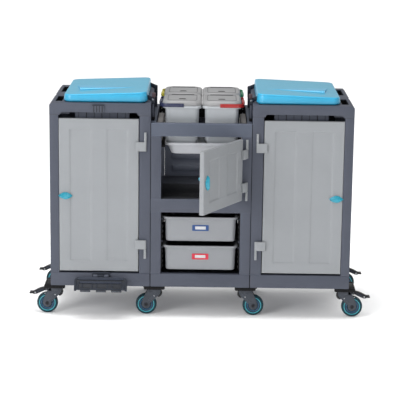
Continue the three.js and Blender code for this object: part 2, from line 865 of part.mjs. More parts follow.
function traySolid() {
  const farther = 75; // the tray is deeper than it is wide
  const rear = 4;
  const wall = 4;
  const skirt = 158;
  const lip = 171;
  const well = 142;
  const level = (half, z, corner) =>
    ring(-half, half, -farther - half, farther + half + rear, z, corner);
  return loft([
    level(skirt - 6, TRAY_FLANGE - wall, 22),
    level(well - wall, TRAY_BOTTOM, 22),
    level(well, TRAY_BOTTOM, 26),
    level(skirt, TRAY_FLANGE, 26),
    level(lip, TRAY_FLANGE, 30),
    level(lip, TRAY_TOP, 30),
    level(lip - 7, TRAY_TOP, 12),
    level(lip - 7, TRAY_FLOOR, 12),
  ]);
}

function drawerSolid(top) {
  const wall = 3;
  const floor = top - DRAWER_HEIGHT;
  const rimInset = 8.5;
  const floorInset = 13;
  const level = (inset, z, corner) =>
    ring(
      -DRAWER_HALF + inset,
      DRAWER_HALF - inset,
      DRAWER_FRONT + inset * 0.7,
      DRAWER_BACK - inset * 0.7,
      z,
      corner,
    );
  return loft([
    level(floorInset, floor, 20),
    level(rimInset, top - DRAWER_RIM, 24),
    level(0, top - DRAWER_RIM, 28),
    level(0, top, 28),
    level(rimInset + wall, top, 22),
    level(floorInset + wall, floor + wall, 18),
  ]);
}

// A tapered bucket with a flange round its rim and a lug with a stud at each end.
function bucketSolid(y) {
  const wall = 3;
  const taper = 12;
  const rim = 12;
  const level = (halfX, halfY, z, corner) =>
    ring(BUCKET_X - halfX, BUCKET_X + halfX, y - halfY, y + halfY, z, corner);
  const body = (grow, z, corner) =>
    level(BUCKET_HALF + grow, BUCKET_HALF_DEPTH + grow, z, corner);
  const shell = loft([
    body(-taper, BUCKET_BOTTOM, 18),
    body(0, BUCKET_TOP - rim, 22),
    level(BUCKET_RIM_HALF, BUCKET_RIM_HALF_DEPTH, BUCKET_TOP - rim, 28),
    level(BUCKET_RIM_HALF, BUCKET_RIM_HALF_DEPTH, BUCKET_TOP, 28),
    body(-wall, BUCKET_TOP, 20),
    body(-taper - wall, BUCKET_BOTTOM + wall, 15),
  ]);
  const lugs = [-1, 1].flatMap((way) => {
    const lugY = y + way * BUCKET_LUG_Y;
    return [
      box(BUCKET_X - 6, BUCKET_X + 6, lugY - 3, lugY + 3, BUCKET_TOP - 6, BAIL_Z + 4),
      rod("y", BUCKET_X, lugY + way * 5, BAIL_Z, BAIL_STUD, 7, 8),
    ];
  });
  return join(shell, ...lugs);
}

// A bucket's lid: a shallow cap with clipped corners that rests on the rim.
function bucketLid(y) {
  const level = (inset, z, corner) =>
    ring(
      BUCKET_X - BUCKET_RIM_HALF + inset,
      BUCKET_X + BUCKET_RIM_HALF - inset,
      y - BUCKET_RIM_HALF_DEPTH + inset,
      y + BUCKET_RIM_HALF_DEPTH - inset,
      z,
      corner,
      1,
    );
  const cap = loft([
    level(4, BUCKET_LID_TOP - 4, 28),
    level(3, BUCKET_TOP + TOUCH, 28),
    level(0, BUCKET_TOP + TOUCH, 30),
    level(0, BUCKET_LID_TOP - 10, 30),
    level(9, BUCKET_LID_TOP, 26),
  ]);
  // Clearance over the bucket's two handle lugs.
  const clear = [-1, 1].map((way) => {
    const lugY = y + way * BUCKET_LUG_Y;
    return box(BUCKET_X - 8, BUCKET_X + 8, lugY - 7, lugY + 7, BUCKET_TOP - BITE, BAIL_Z + 6);
  });
  return cut(cap, ...clear);
}

// A bucket's carrying handle, folded down round the bucket's outer side.
function bailSolid(y) {
  const thickness = 4;
  const halfWidth = 9;
  const halfY = 119.5;
  const bend = 42;
  const grip = 8.6;
  const gripLength = 90;
  const reach = BUCKET_X + 105;
  const band = (inset, start) => {
    const corner = bend - inset;
    const x = reach - inset;
    const edge = halfY - inset;
    const shape = new THREE.Shape();
    shape.moveTo(start, y - edge);
    shape.lineTo(x - corner, y - edge);
    shape.absarc(x - corner, y - edge + corner, corner, -Math.PI / 2, 0, false);
    shape.lineTo(x, y + edge - corner);
    shape.absarc(x - corner, y + edge - corner, corner, 0, Math.PI / 2, false);
    shape.lineTo(start, y + edge);
    return shape;
  };
  const z0 = BAIL_Z - halfWidth;
  const z1 = BAIL_Z + halfWidth;
  const strap = cut(
    prism(band(0, BUCKET_X - 9), "z", z0, z1),
    prism(band(thickness, BUCKET_X - 20), "z", z0 - BITE, z1 + BITE),
  );
  return cut(
    join(strap, rod("y", reach - 5, y, BAIL_Z, grip, gripLength, 10)),
    rod("y", BUCKET_X, y, BAIL_Z, BAIL_STUD + PIN_PLAY, 2 * halfY + 10, 8),
  );
}

function addBucket(group, row, side) {
  const y = row === "front" ? -BUCKET_Y : BUCKET_Y;
  const place = row + "_" + side;
  addNode(group, "bucket_" + place, bucketSolid(y), CONTAINER_GREY);
  addNode(group, "bucket_lid_" + place, bucketLid(y), CONTAINER_GREY);
  addNode(group, "bucket_handle_" + place, bailSolid(y), BAIL_COLOURS[place]);
}

function middleBase() {
  const plate = (x, y) => {
    const inner = Math.sign(x) * (MIDDLE_HALF - BITE);
    const far = Math.sign(x) * (Math.abs(x) - PLATE_ROOT);
    return castorPlate(x, y, Math.min(inner, far), Math.max(inner, far));
  };
  const plates = [-INNER_CASTOR_X, INNER_CASTOR_X].flatMap((x) =>
    [-CASTOR_Y, CASTOR_Y].map((y) => plate(x, y)),
  );
  return join(baseSolid(-MIDDLE_HALF, MIDDLE_HALF), ...plates);
}

// The cupboard door and its latch, standing open about the door's hinge.
function addCupboardDoor(group) {
  const swing = new THREE.Group();
  swing.position.set(CUPBOARD_HINGE_X, HINGE_Y, 0);
  swing.rotation.z = CUPBOARD_OPEN;
  const drawn = new THREE.Group();
  drawn.position.set(-CUPBOARD_HINGE_X, -HINGE_Y, 0);
  const free = -MIDDLE_POST_EDGE + 2;
  const door = doorSolid(
    free,
    MIDDLE_POST_EDGE - DOOR_GAP,
    CUPBOARD_HINGE_X,
    CUPBOARD_DOOR_BOTTOM,
    CUPBOARD_DOOR_TOP,
    CUPBOARD_ARMS,
    CUPBOARD_KNOB_HEIGHT,
  );
  addNode(drawn, "cupboard_door", door, LIGHT_GREY);
  // The knob stands upright here, a quarter turn from level.
  const knob = new THREE.Group();
  knob.position.set(free + KNOB_FROM_EDGE, 0, CUPBOARD_KNOB_HEIGHT);
  knob.rotation.y = -Math.PI / 2;
  addNode(knob, "cupboard_latch", latchSolid(0, 0, 1), LATCH_BLUE);
  drawn.add(knob);
  swing.add(drawn);
  group.add(swing);
}

function addMiddleModule(group) {
  addNode(group, "middle_base", middleBase(), SLATE);
  for (const side of ["left", "right"]) {
    const half = side === "left" ? mirrorGroup(group) : group;
    const leaves = [
      hingeLeaf(CUPBOARD_HINGE_X, CUPBOARD_ARMS[0], 1),
      hingeLeaf(CUPBOARD_HINGE_X, CUPBOARD_ARMS[1], -1),
    ];
    const wall = side === "right" ? join(middleSide(), ...leaves) : middleSide();
    addNode(half, "middle_" + side + "_side", wall, SLATE);
    addBucket(half, "front", side);
    addBucket(half, "rear", side);
  }
  addNode(group, "middle_top_frame", middleTopFrame(), SLATE);
  addNode(group, "middle_shelf", middleShelf(), SLATE);
  const edge = MIDDLE_POST_EDGE - TOUCH;
  const back = backPanelSolid(-edge, edge, BASE_TOP + TOUCH, MIDDLE_SIDE_TOP);
  addNode(group, "middle_back_panel", back, SLATE);
  addNode(group, "bucket_tray", traySolid(), CONTAINER_GREY);
  addNode(group, "upper_drawer", drawerSolid(UPPER_DRAWER_TOP), CONTAINER_GREY);
  addNode(group, "lower_drawer", drawerSolid(LOWER_DRAWER_TOP), CONTAINER_GREY);
  addCupboardDoor(group);
}

function mirrorGroup(parent) {
  const mirrored = new THREE.Group();
  mirrored.scale.x = -1;
  parent.add(mirrored);
  return mirrored;
}

// ---------------------------------------------------------------- the cart

const cart = new THREE.Group();
addMiddleModule(cart);
addTallCabinet(cart, "right");
const leftHalf = mirrorGroup(cart);
addTallCabinet(leftHalf, "left");
const pedal = new THREE.Group();
pedal.position.set(PEDAL_X, PEDAL_AXIS_Y, PEDAL_AXIS_Z);
pedal.rotation.x = PEDAL_TILT;
addNode(pedal, "lid_pedal", pedalSolid(), DARK_GREY);
leftHalf.add(pedal);

// The origin is on the floor, below the middle of the cart as it stands with its cupboard open.
cart.updateMatrixWorld(true);
const extent = new THREE.Box3().setFromObject(cart, true);
cart.position.y = -(extent.min.y + extent.max.y) / 2;

export default cart;
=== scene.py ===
"""The looks of the housekeeping cart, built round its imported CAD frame.

The front faces -Y. Outlines and places are in millimetres, and each mesh is made in metres.
The right half of each mirrored pair is drawn and then mirrored.
"""

import json
import math

import bmesh
import bpy
from mathutils import Matrix, Vector


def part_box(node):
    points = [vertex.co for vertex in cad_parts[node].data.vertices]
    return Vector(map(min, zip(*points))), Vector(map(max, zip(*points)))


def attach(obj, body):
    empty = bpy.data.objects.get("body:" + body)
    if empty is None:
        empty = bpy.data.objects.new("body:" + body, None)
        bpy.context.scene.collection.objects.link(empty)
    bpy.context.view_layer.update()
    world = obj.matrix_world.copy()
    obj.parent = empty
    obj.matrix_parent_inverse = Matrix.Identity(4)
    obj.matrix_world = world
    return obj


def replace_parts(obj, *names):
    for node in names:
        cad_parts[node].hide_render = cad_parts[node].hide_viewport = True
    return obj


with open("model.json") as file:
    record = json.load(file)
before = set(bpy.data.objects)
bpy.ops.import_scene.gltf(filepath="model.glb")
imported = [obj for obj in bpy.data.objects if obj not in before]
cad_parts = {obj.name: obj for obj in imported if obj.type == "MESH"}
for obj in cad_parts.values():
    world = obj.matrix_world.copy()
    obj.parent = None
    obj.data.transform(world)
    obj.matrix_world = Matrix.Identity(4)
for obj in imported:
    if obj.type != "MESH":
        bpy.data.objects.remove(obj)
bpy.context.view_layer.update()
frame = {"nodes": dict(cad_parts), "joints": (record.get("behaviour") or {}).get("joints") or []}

JOINTS = {joint["name"]: joint for joint in frame["joints"]}
SIDES = {"left": -1, "right": 1}
ROWS = {"front": -1, "rear": 1}
MM = 0.001
TAU = 2 * math.pi

# ---------------------------------------------------------------- places read from the frame


def low(node):
    return Vector(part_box(node)[0]) / MM


def high(node):
    return Vector(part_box(node)[1]) / MM


def joint_at(name):
    return Vector(JOINTS[name]["pos_m"]) / MM


FRONT = low("middle_base").y
BACK = high("middle_base").y
MIDDLE_Y = (FRONT + BACK) / 2
MIDDLE_HALF = high("middle_top_frame").x
OUTER = high("right_outer_side").x
INNER = low("right_inner_side").x
INNER_POST_EDGE = high("right_inner_side").x
OUTER_POST_EDGE = low("right_outer_side").x
OUTER_POST, INNER_POST, MIDDLE_POST = 41, 51, 48
MIDDLE_POST_EDGE = MIDDLE_HALF - MIDDLE_POST
BASE_BOTTOM = 153
BASE_TOP = high("middle_base").z
SIDE_BOTTOM = low("right_outer_side").z
TALL_SIDE_TOP = high("right_outer_side").z
RAIL_BOTTOM = low("middle_shelf").z
RAIL_TOP = high("middle_shelf").z
MIDDLE_SIDE_TOP = high("middle_left_side").z
MIDDLE_TOP = high("middle_top_frame").z
TALL_TOP = high("right_back_panel").z + 55.4

# ---------------------------------------------------------------- mesh helpers


def shade(bm, sharp_degrees):
    """Smooth faces, with the edges that turn more than the given angle left sharp."""
    limit = math.radians(sharp_degrees)
    for face in bm.faces:
        face.smooth = True
    for edge in bm.edges:
        edge.smooth = edge.is_manifold and edge.calc_face_angle(0.0) < limit


def soften(bm, width, segments=2, from_degrees=25):
    """Rounds every edge that turns more than the given angle, and marks the new faces as edges."""
    limit = math.radians(from_degrees)
    layer = bm.faces.layers.float.get("edge_wear") or bm.faces.layers.float.new("edge_wear")
    edges = [e for e in bm.edges if e.is_manifold and e.calc_face_angle(0.0) > limit]
    made = bmesh.ops.bevel(
        bm,
        geom=edges,
        offset=width * MM,
        offset_type="OFFSET",
        segments=segments,
        profile=0.5,
        affect="EDGES",
        clamp_overlap=True,
    )
    for face in made["faces"]:
        face[layer] = 1.0


def piece_of(name, bm, sharp_degrees=38):
    bmesh.ops.recalc_face_normals(bm, faces=bm.faces)
    shade(bm, sharp_degrees)
    mesh = bpy.data.meshes.new(name)
    bm.to_mesh(mesh)
    bm.free()
    piece = bpy.data.objects.new(name, mesh)
    bpy.context.scene.collection.objects.link(piece)
    return piece


def at(place):
    """A move by a place in millimetres."""
    return Matrix.Translation(Vector(place) * MM)


def put(piece, matrix):
    """Moves a piece's mesh, and keeps its faces out if the move mirrors it."""
    piece.data.transform(matrix)
    if matrix.determinant() < 0:
        piece.data.flip_normals()
    return piece


def dress(piece, body, material, slot, g=1):
    """Gives a piece its material and its body; slot is not used. g is -1 for the mirrored half."""
    if g < 0:
        put(piece, Matrix.Scale(-1, 4, (1, 0, 0)))
    piece.data.materials.clear()
    piece.data.materials.append(material)
    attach(piece, body)
    return piece


def ring_of(bm, points):
    """A ring of new vertices at points in millimetres."""
    return [bm.verts.new((x * MM, y * MM, z * MM)) for x, y, z in points]


def band(bm, a, b):
    """The faces between two rings. A ring of one vertex is a tip."""
    count = max(len(a), len(b))
    for i in range(count):
        j = (i + 1) % count
        if len(a) == 1:
            bm.faces.new((a[0], b[i], b[j]))
        elif len(b) == 1:
            bm.faces.new((a[i], b[0], a[j]))
        else:
            bm.faces.new((a[i], a[j], b[j], b[i]))


def skin(name, rings_of_points, sharp_degrees=38):
    """A closed skin through rings of points, capped at both ends."""
    bm = bmesh.new()
    rings = [ring_of(bm, points) for points in rings_of_points]
    for a, b in zip(rings, rings[1:]):
        band(bm, a, b)
    bm.faces.new(rings[0][::-1])
    bm.faces.new(rings[-1])
    return piece_of(name, bm, sharp_degrees)


def prism(name, outline, axis, start, end, bevel=0.0, segments=2):
    """An outline pushed along an axis. Its coordinates are x y for z, x z for y, and y z for x."""
    lay = {
        "x": lambda a, b, c: (c, a, b),
        "y": lambda a, b, c: (a, c, b),
        "z": lambda a, b, c: (a, b, c),
    }[axis]
    bm = bmesh.new()
    near, far = (ring_of(bm, [lay(a, b, c) for a, b in outline]) for c in (start, end))
    bm.faces.new(near)
    bm.faces.new(far[::-1])
    band(bm, far, near)
    bmesh.ops.recalc_face_normals(bm, faces=bm.faces)
    if bevel:
        soften(bm, bevel, segments)
    return piece_of(name, bm)


def block(name, corner_a, corner_b, bevel, segments=2):
    """A rounded block between two opposite corners."""
    (x0, x1), (y0, y1), (z0, z1) = (sorted(pair) for pair in zip(corner_a, corner_b))
    outline = [(x0, y0), (x1, y0), (x1, y1), (x0, y1)]
    return prism(name, outline, "z", z0, z1, bevel, segments)


def arc(cx, cy, radius, from_degrees, to_degrees, steps=8):
    """Points on an arc, both ends included."""
    turns = [from_degrees + (to_degrees - from_degrees) * i / steps for i in range(steps + 1)]
    return [
        (cx + radius * math.cos(math.radians(t)), cy + radius * math.sin(math.radians(t)))
        for t in turns
    ]


def rounded(x0, x1, y0, y1, corner, steps=6):
    """A rectangle's outline with rounded corners."""
    return (
        arc(x1 - corner, y1 - corner, corner, 0, 90, steps)
        + arc(x0 + corner, y1 - corner, corner, 90, 180, steps)
        + arc(x0 + corner, y0 + corner, corner, 180, 270, steps)
        + arc(x1 - corner, y0 + corner, corner, 270, 360, steps)
    )


def centred(cx, cy, half_x, half_y, corner, steps=6):
    """A rounded rectangle's outline round its centre."""
    return rounded(cx - half_x, cx + half_x, cy - half_y, cy + half_y, corner, steps)


def loft(name, levels):
    """A closed skin through level outlines, given as (outline, z) pairs with equal counts, where z
    is a height or a function of x. The first is capped facing down and the last up."""
    return skin(
        name,
        [[(x, y, z(x) if callable(z) else z) for x, y in outline] for outline, z in levels],
    )


def sleeve(name, outer, inner, z0, z1):
    """An open tube between two outlines with equal counts."""
    bm = bmesh.new()
    loops = [(outer, z0), (outer, z1), (inner, z1), (inner, z0)]
    rings = [ring_of(bm, [(x, y, z) for x, y in outline]) for outline, z in loops]
    for a, b in zip(rings, rings[1:] + rings[:1]):
        band(bm, a, b)
    return piece_of(name, bm)


def lathe(name, profile, segments=48, axis="y"):
    """A disc or ring turned round an axis. The profile's (radius, height) points close on
    themselves, or start and end on the axis."""
    lay = {
        "x": lambda r, h, c, s: (h, r * c, r * s),
        "y": lambda r, h, c, s: (r * c, h, r * s),
        "z": lambda r, h, c, s: (r * c, r * s, h),
    }[axis]
    turns = [TAU * i / segments for i in range(segments)]
    bm = bmesh.new()
    rings = []
    for radius, height in profile:
        around = turns if radius else [0.0]
        rings.append(ring_of(bm, [lay(radius, height, math.cos(t), math.sin(t)) for t in around]))
    if len(rings[0]) > 1:
        rings.append(rings[0])
    for a, b in zip(rings, rings[1:]):
        band(bm, a, b)
    return piece_of(name, bm, 40)


def from_cad(node, bevel, segments=2):
    """The CAD node's own shape with its edges rounded, as a new piece that stands for the node."""
    bm = bmesh.new()
    bm.from_mesh(frame["nodes"][node].data)
    bmesh.ops.remove_doubles(bm, verts=bm.verts, dist=1e-5)
    bmesh.ops.dissolve_limit(bm, angle_limit=math.radians(1), verts=bm.verts[:], edges=bm.edges[:])
    bmesh.ops.recalc_face_normals(bm, faces=bm.faces)
    soften(bm, bevel, segments)
    piece = piece_of(node + "_shell", bm)
    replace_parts(piece, node)
    return piece


def rise(start, end, value):
    """0 up to start, 1 from end, and smooth between."""
    t = min(1.0, max(0.0, (value - start) / (end - start)))
    return t * t * (3 - 2 * t)


def spread(stops, step):
    """The stops in order, with the stretches between them cut into parts no longer than step."""
    stops = sorted(set(round(s, 3) for s in stops))
    out = [stops[0]]
    for a, b in zip(stops, stops[1:]):
        parts = max(1, math.ceil((b - a) / step))
        out += [a + (b - a) * (i + 1) / parts for i in range(parts)]
    return out


def relief(name, xs, zs, front_at, back_at):
    """A closed slab whose front and back are height fields over a grid of x and z."""
    bm = bmesh.new()
    front, back = (
        [ring_of(bm, [(x, depth_at(x, z), z) for z in zs]) for x in xs]
        for depth_at in (front_at, back_at)
    )
    for i in range(len(xs) - 1):
        for j in range(len(zs) - 1):
            bm.faces.new((front[i][j], front[i + 1][j], front[i + 1][j + 1], front[i][j + 1]))
            bm.faces.new((back[i][j], back[i][j + 1], back[i + 1][j + 1], back[i + 1][j]))
    for i in range(len(xs) - 1):
        for j in (0, -1):
            bm.faces.new((front[i][j], back[i][j], back[i + 1][j], front[i + 1][j]))
    for j in range(len(zs) - 1):
        for i in (0, -1):
            bm.faces.new((front[i][j], front[i][j + 1], back[i][j + 1], back[i][j]))
    return piece_of(name, bm, 60)


# ---------------------------------------------------------------- materials


def noise(tree, coords, scale, detail, roughness=0.6):
    texture = tree.nodes.new("ShaderNodeTexNoise")
    texture.inputs["Scale"].default_value = scale
    texture.inputs["Detail"].default_value = detail
    texture.inputs["Roughness"].default_value = roughness
    tree.links.new(coords.outputs["Object"], texture.inputs["Vector"])
    return texture


def moulded(
    name, colour, roughness, mottle=0.05, grain=0.12, grain_scale=1400.0, coat=0.0, wear=0.0,
    shine=0.5,
):
    """Moulded plastic: uneven in colour, spark-eroded grain, rubbed patches, worn edges."""
    material = bpy.data.materials.new(name)
    material.use_nodes = True
    tree = material.node_tree
    shader = tree.nodes["Principled BSDF"]
    coords = tree.nodes.new("ShaderNodeTexCoord")
    cloud = noise(tree, coords, 9.0, 5.0)
    tint = tree.nodes.new("ShaderNodeValToRGB")
    darker, lighter = tint.color_ramp.elements
    darker.position, lighter.position = 0.3, 0.7
    darker.color = (*[c * (1 - mottle) for c in colour], 1)
    lighter.color = (*[min(1.0, c * (1 + mottle)) for c in colour], 1)
    tree.links.new(cloud.outputs["Fac"], tint.inputs["Fac"])
    colour_out = tint.outputs["Color"]
    if wear:
        edges = tree.nodes.new("ShaderNodeAttribute")
        edges.attribute_name = "edge_wear"
        patchy = noise(tree, coords, 35.0, 4.0)
        amount = tree.nodes.new("ShaderNodeMath")
        amount.operation = "MULTIPLY"
        tree.links.new(edges.outputs["Fac"], amount.inputs[0])
        tree.links.new(patchy.outputs["Fac"], amount.inputs[1])
        pale = tree.nodes.new("ShaderNodeMix")
        pale.data_type = "RGBA"
        pale.inputs["B"].default_value = (*[min(1.0, c * (1 + wear)) for c in colour], 1)
        tree.links.new(amount.outputs["Value"], pale.inputs["Factor"])
        tree.links.new(colour_out, pale.inputs["A"])
        colour_out = pale.outputs["Result"]
    tree.links.new(colour_out, shader.inputs["Base Color"])
    rubbed = noise(tree, coords, 60.0, 3.0)
    gloss = tree.nodes.new("ShaderNodeMapRange")
    gloss.inputs["To Min"].default_value = max(0.02, roughness - 0.08)
    gloss.inputs["To Max"].default_value = min(1.0, roughness + 0.08)
    tree.links.new(rubbed.outputs["Fac"], gloss.inputs["Value"])
    tree.links.new(gloss.outputs["Result"], shader.inputs["Roughness"])
    fine = noise(tree, coords, grain_scale, 2.0)
    bump = tree.nodes.new("ShaderNodeBump")
    bump.inputs["Strength"].default_value = grain
    bump.inputs["Distance"].default_value = 0.0003
    tree.links.new(fine.outputs["Fac"], bump.inputs["Height"])
    tree.links.new(bump.outputs["Normal"], shader.inputs["Normal"])
    shader.inputs["Specular IOR Level"].default_value = shine
    shader.inputs["Coat Weight"].default_value = coat
    shader.inputs["Coat Roughness"].default_value = 0.08
    return material


SLATE = moulded("slate_plastic", (0.066, 0.074, 0.100), 0.55, grain=0.25, wear=0.8, shine=0.35)
SHADE_SLATE = moulded(
    "shaded_slate_plastic", (0.036, 0.039, 0.048), 0.6, grain=0.25, wear=0.5, shine=0.25
)
BLACK = moulded("black_plastic", (0.006, 0.006, 0.007), 0.5, grain=0.2, wear=0.8, shine=0.15)
DOOR_GREY = moulded(
    "door_plastic", (0.272, 0.285, 0.300), 0.45, mottle=0.025, grain=0.18, wear=0.3, shine=0.4
)
BOX_GREY = moulded(
    "container_plastic", (0.245, 0.255, 0.272), 0.4, mottle=0.03, grain=0.1, wear=0.3, shine=0.4
)
BUCKET_GREY = moulded(
    "bucket_plastic", (0.435, 0.458, 0.484), 0.45, grain=0.12, grain_scale=900.0, shine=0.5
)
TRAY_GREY = moulded(
    "tray_plastic", (0.46, 0.47, 0.50), 0.5, grain=0.12, grain_scale=900.0, shine=0.5
)
WING_GREY = moulded("wing_plastic", (0.34, 0.325, 0.32), 0.6, grain=0.15, shine=0.3)
INSIDE_BLACK = moulded("inside_plastic", (0.05, 0.051, 0.058), 0.6, grain=0.2, wear=0.6, shine=0.3)
MAT_BLACK = moulded("mat_plastic", (0.008, 0.008, 0.009), 0.6, grain=0.2, shine=0.3)
# Dark grey for the lines on the bucket lids: painted shade for their grooves.
GROOVE_SHADE_GREY = moulded("groove_shade_plastic", (0.07, 0.07, 0.075), 0.5, grain=0.1, shine=0.3)
COVER_GREY = moulded(
    "cover_plastic", (0.30, 0.30, 0.305), 0.45, mottle=0.06, grain=0.15, grain_scale=900.0, shine=0.5
)
LID_BLUE = moulded(
    "lid_plastic", (0.026, 0.42, 0.69), 0.34, mottle=0.03, grain=0.012, coat=0.2, shine=0.8
)
# A paler, greyer copy of the lid blue for the lids' flat tops: painted sheen, the pale reflection that
# lies on them.
LID_TOP_SHEEN_BLUE = moulded(
    "lid_top_painted_sheen_plastic", (0.050, 0.40, 0.595), 0.36, mottle=0.03, grain=0.012, coat=0.2, shine=0.8
)
LATCH_BLUE = moulded("latch_plastic", (0.014, 0.28, 0.39), 0.28, grain=0.04, coat=0.2)
FITTING = moulded("fitting_plastic", (0.018, 0.0225, 0.034), 0.55, grain=0.2, wear=1.0, shine=0.3)
RAIL_SLATE = moulded(
    "rail_slate_plastic", (0.084, 0.098, 0.134), 0.55, grain=0.25, wear=0.8, shine=0.35
)
PEDAL_SLATE = moulded(
    "pedal_slate_plastic", (0.026, 0.032, 0.050), 0.5, grain=0.2, wear=0.9, shine=0.3
)
LUG_BROWN = moulded("lug_plastic", (0.060, 0.036, 0.042), 0.5, grain=0.2, wear=0.8, shine=0.3)
FORK_GREY = moulded("fork_plastic", (0.046, 0.053, 0.068), 0.42, grain=0.12, wear=0.9, shine=0.35)
CASTOR_BLACK = moulded(
    "castor_plastic", (0.012, 0.013, 0.015), 0.45, grain=0.2, wear=1.2, shine=0.25
)
TYRE = moulded("tyre_rubber", (0.004, 0.033, 0.046), 0.5, mottle=0.2, grain=0.3, shine=0.3)
RING_CYAN = moulded("ring_rubber", (0.05, 0.42, 0.50), 0.4, grain=0.05)
HUB_BLUE = moulded("hub_plastic", (0.010, 0.042, 0.075), 0.4, grain=0.08, wear=0.8)
HUB_LIGHT = moulded("hub_lip_plastic", (0.035, 0.13, 0.26), 0.35, grain=0.05)
CARD = moulded("white_card", (0.60, 0.60, 0.61), 0.6, mottle=0.02, grain=0.05)
LABEL_BLUE = moulded("label_blue", (0.010, 0.055, 0.20), 0.35, grain=0.04, wear=0.6)
LABEL_RED = moulded("label_red", (0.56, 0.018, 0.045), 0.35, grain=0.04, wear=0.6)
STEEL = moulded("zinc_steel", (0.42, 0.43, 0.45), 0.35, mottle=0.12, grain=0.05, grain_scale=600.0)
STEEL.node_tree.nodes["Principled BSDF"].inputs["Metallic"].default_value = 1.0
HANDLES = {
    "front_left": (moulded("navy_plastic", (0.026, 0.031, 0.077), 0.32, grain=0.04), "handle_navy"),
    "front_right": (moulded("red_plastic", (0.36, 0.016, 0.016), 0.32, grain=0.04), "handle_red"),
    "rear_left": (moulded("yellow_plastic", (0.56, 0.49, 0.03), 0.32, grain=0.04), "handle_yellow"),
    "rear_right": (moulded("green_plastic", (0.015, 0.21, 0.10), 0.32, grain=0.04), "handle_green"),
}

# ---------------------------------------------------------------- frame


def screw(name, place, axis, radius, body, g=1):
    """A domed cross-head screw. axis points out of the surface it is driven into."""
    dome = [(0.0, 0.4), (0.5, 0.36), (0.85, 0.2), (1.0, 0.0), (1.0, -0.3), (0.0, -0.3)]
    head = lathe(name, [(r * radius, h * radius) for r, h in dome], 20, "z")
    arm, half = 0.62 * radius, 0.13 * radius
    recess = [(half, half), (half, arm), (-half, arm), (-half, half), (-arm, half), (-arm, -half),
              (-half, -half), (-half, -arm), (half, -arm), (half, -half), (arm, -half), (arm, half)]
    # The cross is a black plate on the dome: painted shade for the recess.
    cross = prism(name + "_recess", recess, "z", 0.3 * radius, 0.42 * radius)
    turn = Vector((0, 0, 1)).rotation_difference(Vector(axis)).to_matrix().to_4x4()
    for piece, material in ((head, STEEL), (cross, BLACK)):
        put(piece, at(place) @ turn)
        dress(piece, body, material, "castor_grey", g)


def base(name, x0, x1):
    """A moulded floor with a raised rim round it."""
    rim, corner, floor = 26, 3, 200
    profile = [
        (2, BASE_BOTTOM), (0, BASE_BOTTOM + 2), (0, BASE_TOP - 1.6), (0.5, BASE_TOP - 0.5),
        (1.6, BASE_TOP), (rim - 2, BASE_TOP), (rim, BASE_TOP - 2), (rim, floor + 4), (rim + 4, floor),
    ]
    levels = [
        (rounded(x0 + i, x1 - i, FRONT + i, BACK - i, max(corner - i, 1), 3), z) for i, z in profile
    ]
    return loft(name, levels)


def side_wall(name, outside, inward, post, z0, z1):
    """A wall between two corner posts, with a sunk panel on its outside."""
    depth, sunk, web = 40, 6, 14
    near, far = FRONT + depth, BACK - depth
    outline = [
        (sunk, far), (sunk, near), (0, near - 4), (0, FRONT), (post, FRONT), (post, near),
        (web, near), (web, far), (post, far), (post, BACK), (0, BACK), (0, far + 4),
    ]
    return prism(name, [(outside + inward * a, y) for a, y in outline], "z", z0, z1, 1.8, 3)


def build_frame():
    def shell(piece, node, g):
        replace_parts(dress(piece, "frame", SLATE, "frame_slate", g), node)

    for side, g in SIDES.items():
        shell(base(side + "_base_shell", INNER, OUTER), side + "_base", g)
        for name, node, outside, inward, post, top in (
            (f"{side}_outer_wall", f"{side}_outer_side", OUTER, -1, OUTER_POST, TALL_SIDE_TOP),
            (f"{side}_inner_wall", f"{side}_inner_side", INNER, 1, INNER_POST, TALL_SIDE_TOP),
            (f"middle_{side}_wall", f"middle_{side}_side", MIDDLE_HALF, -1, MIDDLE_POST, MIDDLE_SIDE_TOP),
        ):
            shell(side_wall(name, outside, inward, post, SIDE_BOTTOM, top), node, g)
        dress(from_cad(side + "_top_frame", 2, 3), "frame", SLATE, "frame_slate")
        dress(from_cad(side + "_back_panel", 1.5), "frame", SLATE, "frame_slate")
        build_hand_slots(side, g)
        build_joint_lines(side, g)
    shell(base("middle_base_shell", -MIDDLE_HALF, MIDDLE_HALF), "middle_base", 1)
    dress(from_cad("middle_top_frame", 1.8, 3), "frame", RAIL_SLATE, "frame_slate")
    dress(from_cad("middle_shelf", 1.2), "frame", SHADE_SLATE, "frame_slate")
    rail = block("middle_rail_face", (-MIDDLE_HALF, FRONT - 0.7, RAIL_BOTTOM),
                 (MIDDLE_HALF, FRONT + 0.6, RAIL_TOP), 0.6)
    dress(rail, "frame", SLATE, "frame_slate")


def build_joint_lines(side, g):
    """Dark lines where the posts, the bars over the doors and the modules meet."""
    top = TALL_SIDE_TOP
    lines = [
        (f"{name}_post_joint", (x0 + 1, FRONT - 0.3, top - 0.9), (x1 - 1, FRONT + 4, top + 1.1),
         INSIDE_BLACK, "fittings_dark")
        for name, x0, x1 in (
            ("inner", INNER, INNER + INNER_POST), ("outer", OUTER - OUTER_POST, OUTER)
        )
    ]
    for k in range(7):
        x = 352 + 36 * k
        lines.append((f"bag_bar_joint_{k}", (x, FRONT + 27.6, top - 21),
                      (x + 1.6 + 1.2 * (k % 2), FRONT + 30, top + 12), BLACK, "frame_slate"))
    for name, z0, z1 in (("base", BASE_BOTTOM, BASE_TOP), ("post", BASE_TOP + 1, MIDDLE_TOP)):
        lines.append((f"seam_gasket_{name}", (MIDDLE_HALF - 0.9, FRONT - 0.35, z0 + 1),
                      (INNER + 0.9, FRONT + 6, z1 - 1), BLACK, "fittings_dark"))
    for name, corner_a, corner_b, material, slot in lines:
        dress(block(f"{side}_{name}", corner_a, corner_b, 0.3), "frame", material, slot, g)


